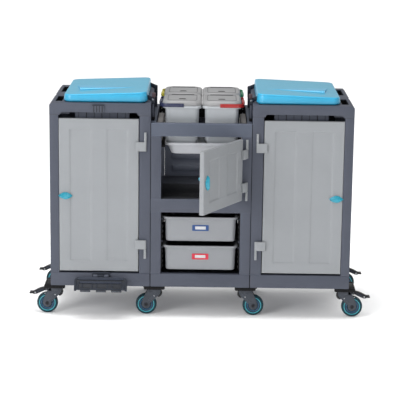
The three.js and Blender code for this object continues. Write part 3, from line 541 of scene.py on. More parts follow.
def build_hand_slots(side, g):
    """Black sleeves in the hand slots: painted shade on the slot walls, for the dark inside of the
    cabinet.
    """
    wall = 1.2
    for row, (y0, y1) in {"front": (-229, -66), "rear": (60, 240)}.items():
        edges = OUTER - 54, OUTER - 22, MIDDLE_Y + y0, MIDDLE_Y + y1
        inner = [edge + way * wall for edge, way in zip(edges, (1, -1, 1, -1))]
        shade_sleeve = sleeve(f"{side}_{row}_slot_painted_shade", rounded(*edges, 4), rounded(*inner, 3),
                        TALL_SIDE_TOP + 2, TALL_TOP - 3.2)
        dress(shade_sleeve, "frame", BLACK, "frame_slate", g)


build_frame()

# ---------------------------------------------------------------- doors

DOOR_THICKNESS = 22
ARM_HALF = 21
ARM_MIDDLES = {"tall": (823, 357), "cupboard": (795, 640)}
LEAF_LENGTH = 45


def door_front(x, z, width, height):
    """How far back the door's front lies: a sunk field with a raised band up its middle."""
    edge = min(x, width - x, z, height - z)
    radius = 4
    y = radius - math.sqrt(max(0.0, radius**2 - max(0.0, radius - edge) ** 2))
    margin, soft = 52, 3.5
    arch = 5 * (1 - (2 * x / width - 1) ** 2)
    field = (
        rise(margin - soft, margin + soft, x)
        * rise(margin - soft, margin + soft, width - x)
        * rise(margin - soft, margin + soft, z)
        * rise(margin - soft - arch, margin + soft - arch, height - z)
    )
    band_edge = 0.385 * width
    band = rise(band_edge, band_edge + 8, x) * rise(band_edge, band_edge + 8, width - x)
    return y + field * (3.2 - 2.4 * band)


def door_back(x, z, width, height):
    """The door's back: a rim and three cross ribs round sunk bays."""
    edge = min(x, width - x, z, height - z)
    radius = 2
    y = DOOR_THICKNESS - radius + math.sqrt(max(0.0, radius**2 - max(0.0, radius - edge) ** 2))
    rib = max(1 - rise(3, 6, abs(z - height * share)) for share in (0.25, 0.5, 0.75))
    return y - 6 * rise(14, 18, edge) * (1 - rib)


def door_slab(name, width, height):
    rim = [s for s in (0, 0.4, 1, 1.8, 2.8, 4, 14, 16, 18)]
    field = [s for s in (48.5, 50.2, 52, 53.8, 55.5)]
    band = [0.385 * width + k * 2 for k in range(5)]
    arch = [height - s for s in (43.5, 45.5, 47)]
    ribs = [height * s + d for s in (0.25, 0.5, 0.75) for d in (-6, -3, 3, 6)]
    x_stops = rim + field + band
    z_stops = rim + field
    xs = spread(x_stops + [width - s for s in x_stops], 12)
    zs = spread(z_stops + [height - s for s in z_stops] + arch + ribs, 20)
    return relief(
        name, xs, zs, lambda x, z: door_front(x, z, width, height),
        lambda x, z: door_back(x, z, width, height),
    )


def hinge_arm(name, axis_x, axis_y, door_edge, z0, z1):
    """A flat strap on the door's front that rolls round the hinge pin at its end."""
    way = 1 if door_edge > axis_x else -1
    radius = FRONT - 1 - axis_y
    reach = door_edge + way * 14
    roll = arc(axis_x, axis_y, radius, 90, 90 + way * 180, 12)
    strap = [(reach, roll[-1][1]), (reach, FRONT + 1), (door_edge, FRONT + 1),
             (door_edge, roll[0][1])]
    return prism(name, roll + strap, "z", z0, z1, 1.1)


def build_door(node, free, hinge, pin, arms, g=1, swing=Matrix.Identity(4)):
    """A door drawn closed between its free and hinge edges, with its arms. swing opens it."""
    z0, z1 = low(node).z, high(node).z
    slab = door_slab(node + "_panel", abs(hinge - free), z1 - z0)
    put(slab, at((min(free, hinge), FRONT, z0)))
    pieces = [slab]
    for i, z in enumerate(arms):
        pieces.append(hinge_arm(f"{node}_arm_{i}", pin.x, pin.y, hinge, z - ARM_HALF, z + ARM_HALF))
    for piece in pieces:
        put(piece, swing)
        dress(piece, node, DOOR_GREY, "door_grey", g)
    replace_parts(slab, node)


def hinge_leaves(name, axis_x, axis_y, arms, g):
    """The fixed leaves on the post, one above the upper arm and one below the lower."""
    for i, (middle, way) in enumerate(zip(arms, (1, -1))):
        z0 = middle + way * (ARM_HALF + 0.8)
        z1 = middle + way * (ARM_HALF + LEAF_LENGTH)
        leaf = block(f"{name}_leaf_{i}", (axis_x - 5.3, axis_y - 5.4, z0),
                     (axis_x + 5.3, FRONT - 0.3, z1), 1.2)
        dress(leaf, "frame", DOOR_GREY, "door_grey", g)
        for k, share in enumerate((0.3, 0.75)):
            place = (axis_x, axis_y - 5.4, z0 + share * (z1 - z0))
            screw(f"{name}_leaf_{i}_screw_{k}", place, (0, -1, 0), 2.6, "frame", g)


CUPBOARD_AXIS = joint_at("cupboard_door_hinge")
CUPBOARD_OPEN = -math.radians(JOINTS["cupboard_door_hinge"]["range_deg"][0])
CUPBOARD_SWING = (
    at(CUPBOARD_AXIS)
    @ Matrix.Rotation(CUPBOARD_OPEN, 4, "Z")
    @ at(-CUPBOARD_AXIS)
)


def build_doors():
    tall_axis = joint_at("right_door_hinge")
    for side, g in SIDES.items():
        node = side + "_door"
        build_door(node, OUTER_POST_EDGE - 1.5, INNER_POST_EDGE + 3.5, tall_axis,
                   ARM_MIDDLES["tall"], g)
        hinge_leaves(node, tall_axis.x, tall_axis.y, ARM_MIDDLES["tall"], g)
    build_door("cupboard_door", 2 - MIDDLE_POST_EDGE, MIDDLE_POST_EDGE - 1.5, CUPBOARD_AXIS,
               ARM_MIDDLES["cupboard"], 1, CUPBOARD_SWING)
    hinge_leaves("cupboard_door", CUPBOARD_AXIS.x, CUPBOARD_AXIS.y, ARM_MIDDLES["cupboard"], 1)


build_doors()

# ---------------------------------------------------------------- latches


def leaf(half_length, half_height, steps=14):
    """The pointed outline of two shallow arcs."""
    shares = [i / steps for i in range(steps + 1)]
    top = [(half_length * (1 - 2 * t), half_height * 4 * t * (1 - t)) for t in shares]
    return top + [(x, -z) for x, z in top[-2:0:-1]]


def latch(node, place, g=1):
    """A leaf-shaped knob with a raised grip, level on its own spindle at the origin, facing -Y."""
    levels = [
        (1, 1, 0.5), (1, 1, 4.5), (0.97, 0.92, 6.5), (0.86, 0.55, 8.5), (0.8, 0.34, 11.5),
        (0.74, 0.2, 13.4),
    ]
    rings = [
        [(x, -depth, z) for x, z in leaf(33.5 * length, 16.5 * height)]
        for length, height, depth in levels
    ]
    knob = skin(node + "_knob", rings, 50)
    shaft = [(0, 22.5), (9, 22.5), (9, 24.5), (6, 26), (6, 32), (0, 32)]
    collar = lathe(node + "_collar", shaft, 24)
    tongue = prism(node + "_tongue", rounded(-6, 34, -6, 6, 5.5), "y", 24.2, 29.8, 1.2)
    put(tongue, Matrix.Rotation(-math.pi / 4, 4, "Y"))
    for piece in (knob, collar, tongue):
        put(piece, place)
        dress(piece, node, LATCH_BLUE, "latch_blue", g)
    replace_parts(knob, node)


def build_latches():
    turn = joint_at("right_latch_turn")
    for side, g in SIDES.items():
        latch(side + "_door_latch", at((turn.x, FRONT, turn.z)), g)
    closed = CUPBOARD_SWING.inverted() @ (joint_at("cupboard_latch_turn") * MM) / MM
    upright = Matrix.Rotation(-math.pi / 2, 4, "Y")
    latch("cupboard_latch", CUPBOARD_SWING @ at((closed.x, FRONT, closed.z)) @ upright)


build_latches()

# ---------------------------------------------------------------- lids of the tall cabinets

LID_AXIS = joint_at("right_lid_hinge")
LID_X1 = high("right_lid").x
LID_X0 = LID_X1 - 387
LID_Y0, LID_Y1 = low("right_lid").y, high("right_lid").y
LID_BOTTOM = TALL_TOP + 1.3
LID_CROWN = high("right_lid").z
LID_SLOPE = 14.8 / 387
LID_HINGE_REACH = 200


def lid_top(x, below=0.0):
    """The height of the sloping top at x, or that many millimetres below it."""
    return LID_CROWN - LID_SLOPE * (x - LID_X0 - 8) - below


def lid_outline(inset):
    x0, x1, y0, y1 = LID_X0 + inset, LID_X1 - inset, LID_Y0 + inset, LID_Y1 - inset
    return rounded(x0, x1, y0, y1, max(38 - inset, 6), 8)


def lid_shell(name):
    """A thin shell with a shadow step at its foot and a groove under its top edge."""
    inside = [(14, 5.4), (11, 8), (10, 13)]
    foot = [
        (10, 1.2), (9.4, 0.3), (6.6, 0.3), (6, 1.2), (6, 4), (5.4, 4.6), (1, 4.6), (0.2, 5.2),
        (0, 6.6),
    ]
    outside = [
        (1.6, 11), (1.9, 9.8), (3.6, 9.2), (3.8, 7.6), (2.6, 6.8), (2.7, 5.4), (3.5, 3), (5, 1.3),
        (7.6, 0.4), (12, 0), (50, -0.2), (110, -0.3),
    ]

    def sloped(profile):
        return [
            (lid_outline(inset), lambda x, below=below: lid_top(x, below))
            for inset, below in profile
        ]

    level = [(lid_outline(inset), LID_BOTTOM + up) for inset, up in foot]
    return loft(name, sloped(inside) + level + sloped(outside))


def lid_grip(name):
    """The long wedge on the lid that the fingers push: it is highest and widest at its outer end."""
    steps, rise_outside = 12, 10.5
    front_a, front_b = Vector((572, -137, 0)), Vector((298, -86, 0))
    back_a, back_b = Vector((600, 40, 0)), Vector((306, -78, 0))
    rings = []
    for i in range(steps + 1):
        t = i / steps
        front, back = front_a.lerp(front_b, t), back_a.lerp(back_b, t)
        height = (1 - t) ** 1.2 * rise_outside
        crest, middle = front.lerp(back, 0.03), front.lerp(back, 0.4)
        section = [
            (front, 3.0), (front, -0.35 * height), (crest, -0.94 * height),
            (crest + Vector((0, 2, 0)), -height), (middle, -0.58 * height), (back, 0.2), (back, 3.0),
        ]
        rings.append([(p.x, p.y + MIDDLE_Y, lid_top(p.x, below)) for p, below in section])
    return skin(name, rings, 32)


def lid_lug(name, y, has_block):
    """An eye on the hinge pin with a thin arm to the lid's edge, under a wider block in front."""
    x, z = LID_AXIS.x, LID_AXIS.z
    eye = arc(x, z, 8.4, 100, 270, 10)
    eye += [(x + 9, z - 8.4), (LID_X0 + 4, z), (LID_X0 + 4, z + 20), (LID_X0 - 1, z + 19)]
    pieces = [(prism(name + "_eye", eye, "y", y - 3.6, y + 3.6, 1), FITTING)]
    if has_block:
        head = [(x - 12, z + 10), (x + 5, z + 10), (x + 5, z + 30), (x - 9, z + 29), (x - 12, z + 26)]
        pieces.append((prism(name + "_block", head, "y", y - 12, y + 12, 1.6), LUG_BROWN))
    return pieces


def build_lids():
    for side, g in SIDES.items():
        node = side + "_lid"
        shell = lid_shell(node + "_shell")
        for piece in (shell, lid_grip(node + "_grip")):
            dress(piece, node, LID_BLUE, "lid_blue", g)
        # The faces that look up take the paler copy of the blue, as a painted sheen.
        shell.data.materials.append(LID_TOP_SHEEN_BLUE)
        for face in shell.data.polygons:
            if face.normal.z > 0.9:
                face.material_index = 1
        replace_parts(shell, node)
        for row, way in ROWS.items():
            y = LID_AXIS.y + way * LID_HINGE_REACH
            for piece, material in lid_lug(f"{node}_lug_{row}", y, row == "front"):
                dress(piece, node, material, "fittings_dark", g)


build_lids()


def build_lid_hinges():
    """The dark ears that the lids turn on. Only the front pair stands on a strip with a foot."""
    x, z = LID_AXIS.x, LID_AXIS.z
    ear = arc(x, z, 8, 0, 180, 10) + [(x - 8, 985), (x + 6.5, 985), (x + 8, 1000)]
    for side, g in SIDES.items():
        for row, way in ROWS.items():
            y = LID_AXIS.y + way * LID_HINGE_REACH
            for k, cheek in enumerate((-1, 1)):
                name = f"{side}_hinge_ear_{row}_{k}"
                piece = prism(name, ear, "y", y + cheek * 4.9, y + cheek * 15.4, 1.2)
                dress(piece, "frame", FITTING, "fittings_dark", g)
        y = LID_AXIS.y - LID_HINGE_REACH
        for name, corner_a, corner_b, bevel, material, slot in (
            ("strip", (x - 7.6, y - 15.4, 936), (x + 5.8, y + 15.4, 1016), 1.6, FITTING, "frame_slate"),
            # The rib is lighter slate on the dark strip: a painted highlight down the strip's middle.
            ("rib", (x - 4.2, y - 17, 950), (x + 2.2, y - 15, 1010), 0.8, SLATE, "frame_slate"),
            ("foot", (x - 8.4, y - 18, 935.5), (x + 5, y + 16, 949), 2, BLACK, "fittings_dark"),
        ):
            piece = block(f"{side}_hinge_{name}_front", corner_a, corner_b, bevel)
            dress(piece, "frame", material, slot, g)
        screw(f"{side}_hinge_screw_front", (x, y - 15.3, z), (0, -1, 0), 4.2, "frame", g)


build_lid_hinges()

# ---------------------------------------------------------------- buckets


def bucket_shell(name, cx, cy, floor, top):
    """A tapered bucket with a stepped wall and a rolled rim."""
    f, t = floor, top
    profile = [
        (58, 85, f + 2, 12), (58, 85, f, 12), (66, 93, f, 16), (67.6, 94.6, f + 1.2, 18),
        (68.2, 95.2, f + 4, 18), (70, 97, f + 12, 19), (75.6, 101, f + 18, 20),
        (76.6, 102.5, t - 62, 20), (77.6, 104.2, t - 59, 20), (78.6, 107, t - 13, 22),
        (79, 107.5, t - 3.4, 22), (87.2, 112.2, t - 3.6, 27), (87.2, 112.2, t - 11, 27),
        (88, 113, t - 12, 28), (89.3, 114.3, t - 12, 28), (90, 115, t - 11, 28), (90, 115, t - 2, 28),
        (89, 114, t - 0.5, 28), (87.5, 112.5, t, 27), (79, 106, t, 21), (77.4, 104.4, t - 1, 20),
        (76.6, 103.6, t - 4, 19), (65, 92, f + 6, 15), (62, 89, f + 3, 13),
    ]
    return loft(name, [(centred(cx, cy, x, y, corner), z) for x, y, z, corner in profile])


def clipped(cx, cy, half_x, half_y, corner):
    """A rectangle's outline with its corners cut off on slightly bulging lines."""
    outline = []
    for sx, sy in ((1, 1), (-1, 1), (-1, -1), (1, -1)):
        ends = [
            (cx + sx * half_x, cy + sy * (half_y - corner)),
            (cx + sx * (half_x - corner), cy + sy * half_y),
        ]
        (ax, ay), (bx, by) = ends if sx == sy else ends[::-1]
        for t in (0, 0.12, 0.5, 0.88, 1):
            bulge = 0.1 * corner * math.sin(math.pi * t)
            outline.append((ax + (bx - ax) * t + sx * bulge, ay + (by - ay) * t + sy * bulge))
    return outline


def bucket_cover(name, cx, cy, z0, z1):
    """A lid with clipped corners, a sloping border and a sunk panel that ends in a shallow step."""
    profile = [
        (5, z1 - 5, 27), (4, z1 - 7, 27), (3.4, z0 + 1, 27), (3, z0, 27), (0.8, z0, 29),
        (0, z0 + 0.8, 30), (0, z1 - 11.5, 30), (0.8, z1 - 9.4, 30), (6.6, z1 - 2.2, 28),
        (8.4, z1 - 0.5, 27), (10.5, z1, 26.5), (14, z1 - 0.1, 25), (15.4, z1 - 1.7, 24.5),
        (17.5, z1 - 1.9, 24), (40, z1 - 1.4, 16),
    ]
    levels = [(clipped(cx, cy, 91.3 - inset, 115 - inset, corner), z) for inset, z, corner in profile]
    return loft(name, levels)


def lid_details(node, cx, cy, top, g):
    """Painted shade for grooves on the lid: a dark line along its far end and round its panel; and a
    finger grip near its front, whose recess is a black patch of painted shade.
    """
    grip_y = cy - 42
    panel = [centred(cx, cy, 68, 80, 9), centred(cx, cy, 65.6, 76, 9)]
    recess = centred(cx, grip_y, 16, 12, 9)
    lip = rounded(cx - 22, cx + 22, grip_y - 15, grip_y - 12.4, 1.2)
    ends = (cx - 54, cy + 82, top - 2.6), (cx + 54, cy + 98, top + 0.2)
    # The two dark lines and the black recess patch are painted shade; only the lip stands proud.
    for piece, material in (
        (sleeve(node + "_panel_groove_shade", *panel, top - 2.4, top - 1.0), GROOVE_SHADE_GREY),
        (block(node + "_rear_bar", *ends, 0.8), GROOVE_SHADE_GREY),
        (prism(node + "_finger_recess_shade", recess, "z", top - 2.4, top - 0.6, 0.4), BLACK),
        (prism(node + "_finger_lip", lip, "z", top - 2.4, top - 0.6, 0.5), COVER_GREY),
    ):
        dress(piece, node, material, "container_grey", g)


def bail(node, cx, cy, z, finish, g):
    """A carrying handle: a flat band from lug to lug, a ribbed grip and a boss at each end."""
    half_y, half_width, thickness, reach = 119.5, 8.8, 3.6, cx + 105

    def hoop(inset):
        x, edge, corner = reach - inset, half_y - inset, 42 - inset
        return (
            [(cx - 8, cy - edge)]
            + arc(x - corner, cy - edge + corner, corner, -90, 0, 8)
            + arc(x - corner, cy + edge - corner, corner, 0, 90, 8)
            + [(cx - 8, cy + edge)]
        )

    outline = hoop(0) + hoop(thickness)[::-1]
    strap = prism(node + "_band", outline, "z", z - half_width, z + half_width, 1.0)
    length, waves = 92, 24
    ripples = [(0, -length / 2)]
    for k in range(waves):
        h = length * (k / (waves - 1) - 0.5)
        swell = 8.5 - 1.1 * abs(2 * h / length) ** 4
        ripples.append((swell - (0.9 if k % 3 == 0 else 0), h))
    grip = lathe(node + "_grip", ripples + [(0, length / 2)], 28)
    pieces = [strap, put(grip, at((cx + 100, cy, z)))]
    for k, end in enumerate((-1, 1)):
        boss = lathe(f"{node}_boss_{k}", [(0, 0), (7.4, 0), (7.4, 1.0), (6.4, 1.8), (0, 1.8)], 28)
        pieces.append(put(boss, at((cx, cy + end * 119.3, z)) @ Matrix.Scale(end, 4, (0, 1, 0))))
    for piece in pieces:
        dress(piece, node, *finish, g)
    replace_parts(strap, node)


def build_buckets():
    for row in ROWS:
        sample = f"_{row}_right"
        lo, hi = low("bucket" + sample), high("bucket" + sample)
        cover_lo, cover_hi = low("bucket_lid" + sample), high("bucket_lid" + sample)
        handle_z = joint_at("bucket_handle_swing" + sample).z
        cx, cy = (lo.x + hi.x) / 2, (cover_lo.y + cover_hi.y) / 2
        for side, g in SIDES.items():
            place = f"{row}_{side}"
            node, cover_node = "bucket_" + place, "bucket_lid_" + place
            shell = bucket_shell(node + "_shell", cx, cy, lo.z, cover_lo.z - 0.3)
            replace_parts(dress(shell, node, BUCKET_GREY, "container_grey", g), node)
            cover = bucket_cover(cover_node + "_shell", cx, cy, cover_lo.z, cover_hi.z)
            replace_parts(dress(cover, cover_node, COVER_GREY, "container_grey", g), cover_node)
            lid_details(cover_node, cx, cy, cover_hi.z, g)
            bail("bucket_handle_" + place, cx, cy, handle_z, HANDLES[place], g)


build_buckets()

# ---------------------------------------------------------------- tray and drawers


def build_tray():
    lo, hi = low("bucket_tray"), high("bucket_tray")
    cy, t, b = (lo.y + hi.y) / 2, hi.z, lo.z
    extra = (hi.y - lo.y) / 2 - 171
    profile = [
        (150, t - 17, 20), (139, b + 3, 20), (134, b + 3, 20), (134, b, 22), (139, b, 25),
        (141.5, b + 1.4, 26), (142.6, b + 4, 26), (156, t - 17, 26), (157.5, t - 13.4, 27),
        (160, t - 13, 28), (169.6, t - 13, 29), (171, t - 11.6, 30), (171, t - 1.6, 30),
        (169.4, t, 29), (166, t, 14), (164.4, t - 1.4, 13), (163.6, t - 7, 12), (160, t - 8.8, 10),
    ]
    levels = [(centred(0, cy, half, half + extra, corner), z) for half, z, corner in profile]
    shell = dress(loft("bucket_tray_shell", levels), "frame", TRAY_GREY, "container_grey")
    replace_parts(shell, "bucket_tray")


def build_drawer(node, label):
    lo, hi = low(node), high(node)
    t, f = hi.z, lo.z
    profile = [
        (26, f + 3, 14), (26, f, 14), (16, f, 18), (14, f + 1.4, 20), (13, f + 5, 21),
        (9.2, t - 12, 24), (9, t - 3.6, 24), (3.4, t - 4, 27), (3, t - 9.4, 27), (2, t - 10, 28),
        (0.8, t - 10, 28), (0, t - 9, 28), (0, t - 2, 28), (0.7, t - 0.6, 28), (2.4, t, 27),
        (10, t, 24), (11.4, t - 1, 23), (12, t - 4, 22), (16, f + 7, 18), (19, f + 3.6, 16),
    ]
    levels = []
    for inset, z, corner in profile:
        x, y = hi.x - inset, inset * 0.7
        levels.append((rounded(-x, x, lo.y + y, hi.y - y, corner, 7), z))
    shell = dress(loft(node + "_shell", levels), node, BOX_GREY, "container_grey")
    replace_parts(shell, node)
    half_pull = [(68, -9.5), (60, -13), (44, -18.5), (24, -21.6)]
    pull = [(-x, z) for x, z in half_pull] + [(0, -22.6)] + half_pull[::-1] + [(60, -9.2), (-60, -9.2)]
    z, y = hi.z - 52, lo.y + 8
    for piece, material in (
        (prism(node + "_pull", [(a, t + b) for a, b in pull], "y", lo.y + 1.2, lo.y + 10, 0.9), BOX_GREY),
        (sleeve_across(node + "_label_holder", (38.5, 14, 3), (25, 7.5, 1.5), z, y - 2.6, y + 3), label),
        (prism(node + "_label_card", centred(0, z, 26, 8.5, 1), "y", y - 1.2, y + 2, 0.3), CARD),
    ):
        dress(piece, node, material, "container_grey")


def sleeve_across(name, outer, inner, z, y0, y1):
    """A flat frame facing the front, from (half width, half height, corner) outside and inside."""
    piece = sleeve(name, centred(0, 0, *outer), centred(0, 0, *inner), -y1, -y0)
    return put(piece, at((0, 0, z)) @ Matrix.Rotation(math.radians(90), 4, "X"))


def build_runners():
    """The notched racks inside the posts that carry the tray and the drawers."""
    tops = {"tray": low("bucket_tray").z + 42.7, "upper": high("upper_drawer").z - 10.3,
            "lower": high("lower_drawer").z - 10.3}
    rack_x = MIDDLE_HALF - 14.5
    for side, g in SIDES.items():
        for name, top in tops.items():
            rail = block(f"{side}_{name}_runner", (168.5, FRONT + 44, top - 8),
                         (MIDDLE_HALF - 9, BACK - 44, top), 1.2)
            dress(rail, "frame", BLACK, "fittings_dark", g)
        for k, z in enumerate((473, 365, 336)):
            peg = [(0, -8), (3.4, -8), (4.2, -7), (4.2, 0), (0, 0)]
            knob = lathe(f"{side}_runner_peg_{k}", peg, 20)
            put(knob, at((180, FRONT + 44, z)))
            dress(knob, "frame", SLATE, "fittings_dark", g)
        # The rack's notches are its own, but its black is painted shade for the dark gap between the
        # drawers and the post.
        rack = block(f"{side}_rack", (180, FRONT + 40.4, BASE_TOP + 4),
                     (rack_x, FRONT + 44, RAIL_BOTTOM - 4), 0.8)
        dress(rack, "frame", BLACK, "fittings_dark", g)
        for k in range(11):
            z = 238 + 24 * k
            tooth = block(f"{side}_rack_tooth_{k}", (176, FRONT + 41, z),
                          (rack_x, FRONT + 47, z + 13), 1.2)
            dress(tooth, "frame", CASTOR_BLACK, "fittings_dark", g)


build_tray()
build_drawer("upper_drawer", LABEL_BLUE)
build_drawer("lower_drawer", LABEL_RED)
build_runners()

# ---------------------------------------------------------------- cupboard inside and backs


def build_interior():
    y = BACK - 24
    half = MIDDLE_POST_EDGE - 1
    z0, z1 = BASE_TOP + 2, MIDDLE_SIDE_TOP - 1
    bars = [(597, 631), (657, 691), (717, 751), (777, 811), (238, 300), (330, 392), (422, 484)]

    def emboss(x, z):
        ends = rise(-150, -143, x) * rise(-150, -143, -x)
        return y - 4 * sum(ends * rise(a, a + 6, z) * rise(-b, 6 - b, -z) for a, b in bars)

    xs = spread([-half, half] + [s * v for s in (-1, 1) for v in (143, 145, 147.5, 150)], 20)
    ramps = [v for a, b in bars for d in (0, 2, 4, 6) for v in (a + d, b - d)]
    zs = spread([z0, z1] + ramps, 20)
    panel = relief("middle_back_relief", xs, zs, emboss, lambda x, z: y + 14)
    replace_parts(dress(panel, "frame", SLATE, "frame_slate"), "middle_back_panel")
    mat = prism("cupboard_mat", rounded(-217, 217, FRONT + 42, FRONT + 350, 5), "z",
                RAIL_TOP - 2.2, RAIL_TOP + 0.6, 0.8)
    dress(mat, "frame", MAT_BLACK, "frame_slate")
    # A black sheet on the inner face of the rear rail: painted shade, as that face lies in shadow.
    bar = block("middle_rear_rail_shade_sheet", (-212, BACK - 31, MIDDLE_SIDE_TOP + 2),
                (212, BACK - 27.5, MIDDLE_TOP + 0.4), 0.8)
    dress(bar, "frame", BLACK, "frame_slate")
    for side, g in SIDES.items():
        outline = rounded(184, 217, 838, 898, 7)
        wing = prism(f"{side}_tray_wing", outline, "y", FRONT + 62, BACK - 62, 1.4)
        dress(wing, "frame", WING_GREY, "container_grey", g)
        for k, z in enumerate((895, 915)):
            screw(f"{side}_rear_bar_screw_{k}", (200, BACK - 31, z), (0, -1, 0), 3, "frame", g)


build_interior()

# ---------------------------------------------------------------- foot pedal and catch


def build_pedal():
    axis = joint_at("lid_pedal_press")
    lean = at(axis) @ Matrix.Rotation(math.radians(-35), 4, "X")

    def add(name, outline, y0, y1, bevel, material):
        piece = put(prism("pedal_" + name, outline, "y", y0, y1, bevel), lean)
        return dress(piece, "lid_pedal", material, "fittings_dark")

    def bow(name, half, top, bottom, width, corner, y0, y1):
        """A bar that runs down, along and up again with rounded bends."""
        x, z, inner = half - corner, top - corner, corner - width
        outside = [(half, bottom)] + arc(x, z, corner, 0, 90) + arc(-x, z, corner, 90, 180)
        inside = arc(-x, z, inner, 180, 90) + arc(x, z, inner, 90, 0) + [(half - width, bottom)]
        outline = outside + [(-half, bottom), (width - half, bottom)] + inside
        add(name, outline, y0, y1, 1.4, FITTING)

    def bar(name, x, half, z0, z1, corner, y0, y1, bevel, material):
        return add(name, rounded(x - half, x + half, z0, z1, corner), y0, y1, bevel, material)

    def turned(name, half, hub, radius, chamfer, x, body, material, slot, sides=24):
        profile = [(hub, -half), (radius - chamfer, -half), (radius, 1 - half)]
        profile += [(r, -h) for r, h in profile[::-1]]
        piece = put(lathe(name, profile, sides, "x"), at(axis + Vector((x, 0, 0))))
        dress(piece, body, material, slot)

    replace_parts(bar("web", 0, 120, -72, -12, 8, -5, -1, 1.0, SHADE_SLATE), "lid_pedal")
    bow("outer_bow", 124, -8.5, -76, 11, 20, -8, 0)
    bar("outer_bar", 0, 104, -22, -10, 5, -9.6, -4, 1.6, PEDAL_SLATE)
    bow("inner_bow", 112, -28, -72, 9, 17, -8.8, -3)
    bar("inner_bar", 0, 96, -39, -31, 3.5, -10.2, -4, 1.4, PEDAL_SLATE)
    bar("foot_bar", 0, 112, -72, -64, 3, -8.6, -3, 1.4, FITTING)
    for k, x in enumerate((-108, -86, -40, -18, 32, 54, 98)):
        bar(f"rib_{k}", x, 2.6, -66, -38, 2, -8.2, -4, 1.0, FITTING)
    for k, x in enumerate((-71, 3, 75)):
        bar(f"tab_{k}", x, 24, -81.4, -60, 2.4, -7.2, -1.4, 1.0, CASTOR_BLACK)
        bar(f"tab_tread_{k}", x, 23, -81, -75, 1.6, -8, -5, 0.9, FORK_GREY)
    turned("pedal_knuckle", 15, 3.5, 7, 0.8, 0, "lid_pedal", FITTING, "fittings_dark")
    for k, x in enumerate((-26, 26)):
        name = f"pedal_bracket_knuckle_{k}"
        turned(name, 10, 0, 7.4, 0.8, x, "frame", SLATE, "fittings_dark")
        arm = block(f"pedal_bracket_web_{k}", axis + Vector((x - 9.4, 0, -5)),
                    (axis.x + x + 9.4, FRONT, axis.z + 5.5), 1.2)
        dress(arm, "frame", SLATE, "fittings_dark")
    back = prism("pedal_bracket_plate", rounded(axis.x - 42, axis.x + 42, 196, 221.3, 5), "y",
                 FRONT - 7, FRONT + 0.5, 1.2)
    dress(back, "frame", FITTING, "frame_slate")
    rod = [(0, -37), (2.6, -37), (3, -36.4), (3, 36.4), (2.6, 37), (0, 37)]
    piece = put(lathe("pedal_hinge_rod", rod, 20, "x"), at(axis))
    dress(piece, "frame", CASTOR_BLACK, "castor_grey")


def build_catch():
    """The ribbed catch on the front of the left cabinet's top frame."""
    x0, x1 = -503, -450
    y = low("left_top_frame").y
    for k in range(4):
        a = x0 + 3 + 13 * k
        rib = prism(f"catch_rib_{k}", rounded(a, a + 7, 981, 1011, 2), "y", y - 0.4, y + 3, 0.7)
        dress(rib, "frame", SHADE_SLATE, "fittings_dark")
    cap = block("catch_cap", (x0 - 0.8, y - 0.8, 1010.5), (x1 + 0.8, y + 6, 1016), 1.1)
    dress(cap, "frame", FITTING, "fittings_dark")


build_pedal()
build_catch()

# ---------------------------------------------------------------- castors

WHEEL_RADIUS = 50
TRAIL = 40  # from the swivel's axis to the axle
BRAKE_X, BRAKE_Z = 38, 120  # the brake's pin, from the swivel's axis and from the floor
CHEEK_IN, CHEEK_OUT = 17.7, 22.3  # a fork cheek's two faces, from the wheel's middle
PLATE_BOTTOM = 139
ENDS = tuple(enumerate((-1, 1)))


def across(name, outline, y, way, a, b, bevel):
    """A plate between two distances from y, on the side that way says."""
    y0, y1 = sorted((y + way * a, y + way * b))
    return prism(name, outline, "y", y0, y1, bevel)


def shifted(points, x):
    return [(x + a, z) for a, z in points]


def castor_mount(name, x, y, g):
    """The plate that a castor hangs from, with a rolled, round-ended bar at each end."""
    half_x, half_y, top = 49.5, 45, BASE_BOTTOM - 0.3
    outline = centred(x, y, half_x - 5, half_y - 1, 4)
    plate = prism(f"mount_plate_{name}", outline, "z", PLATE_BOTTOM, top, 1.4)
    pieces = [(plate, CASTOR_BLACK)]
    half_roll = [(0, 46.5), (3, 46.4), (5.2, 45.4), (6.8, 43), (7.2, 40)]
    roll = [(r, -h) for r, h in half_roll] + half_roll[::-1]
    stretch = rounded(x - half_x, x + half_x, PLATE_BOTTOM - 5, top, 7)
    for k, way in ENDS:
        bar = lathe(f"mount_roll_{name}_{k}", roll, 24)
        pieces.append((put(bar, at((x + way * (half_x - 7), y, PLATE_BOTTOM + 7))), BLACK))
        pieces.append((across(f"mount_bar_{name}_{k}", stretch, y, way, 50, 63, 1.8), BLACK))
    pin = lathe(f"mount_pin_{name}", [(0, 114), (6, 114), (7, 115), (7, 140), (0, 140)], 24, "z")
    pieces.append((put(pin, at((x, y, 0))), STEEL))
    for piece, material in pieces:
        dress(piece, "frame", material, "fittings_dark", g)


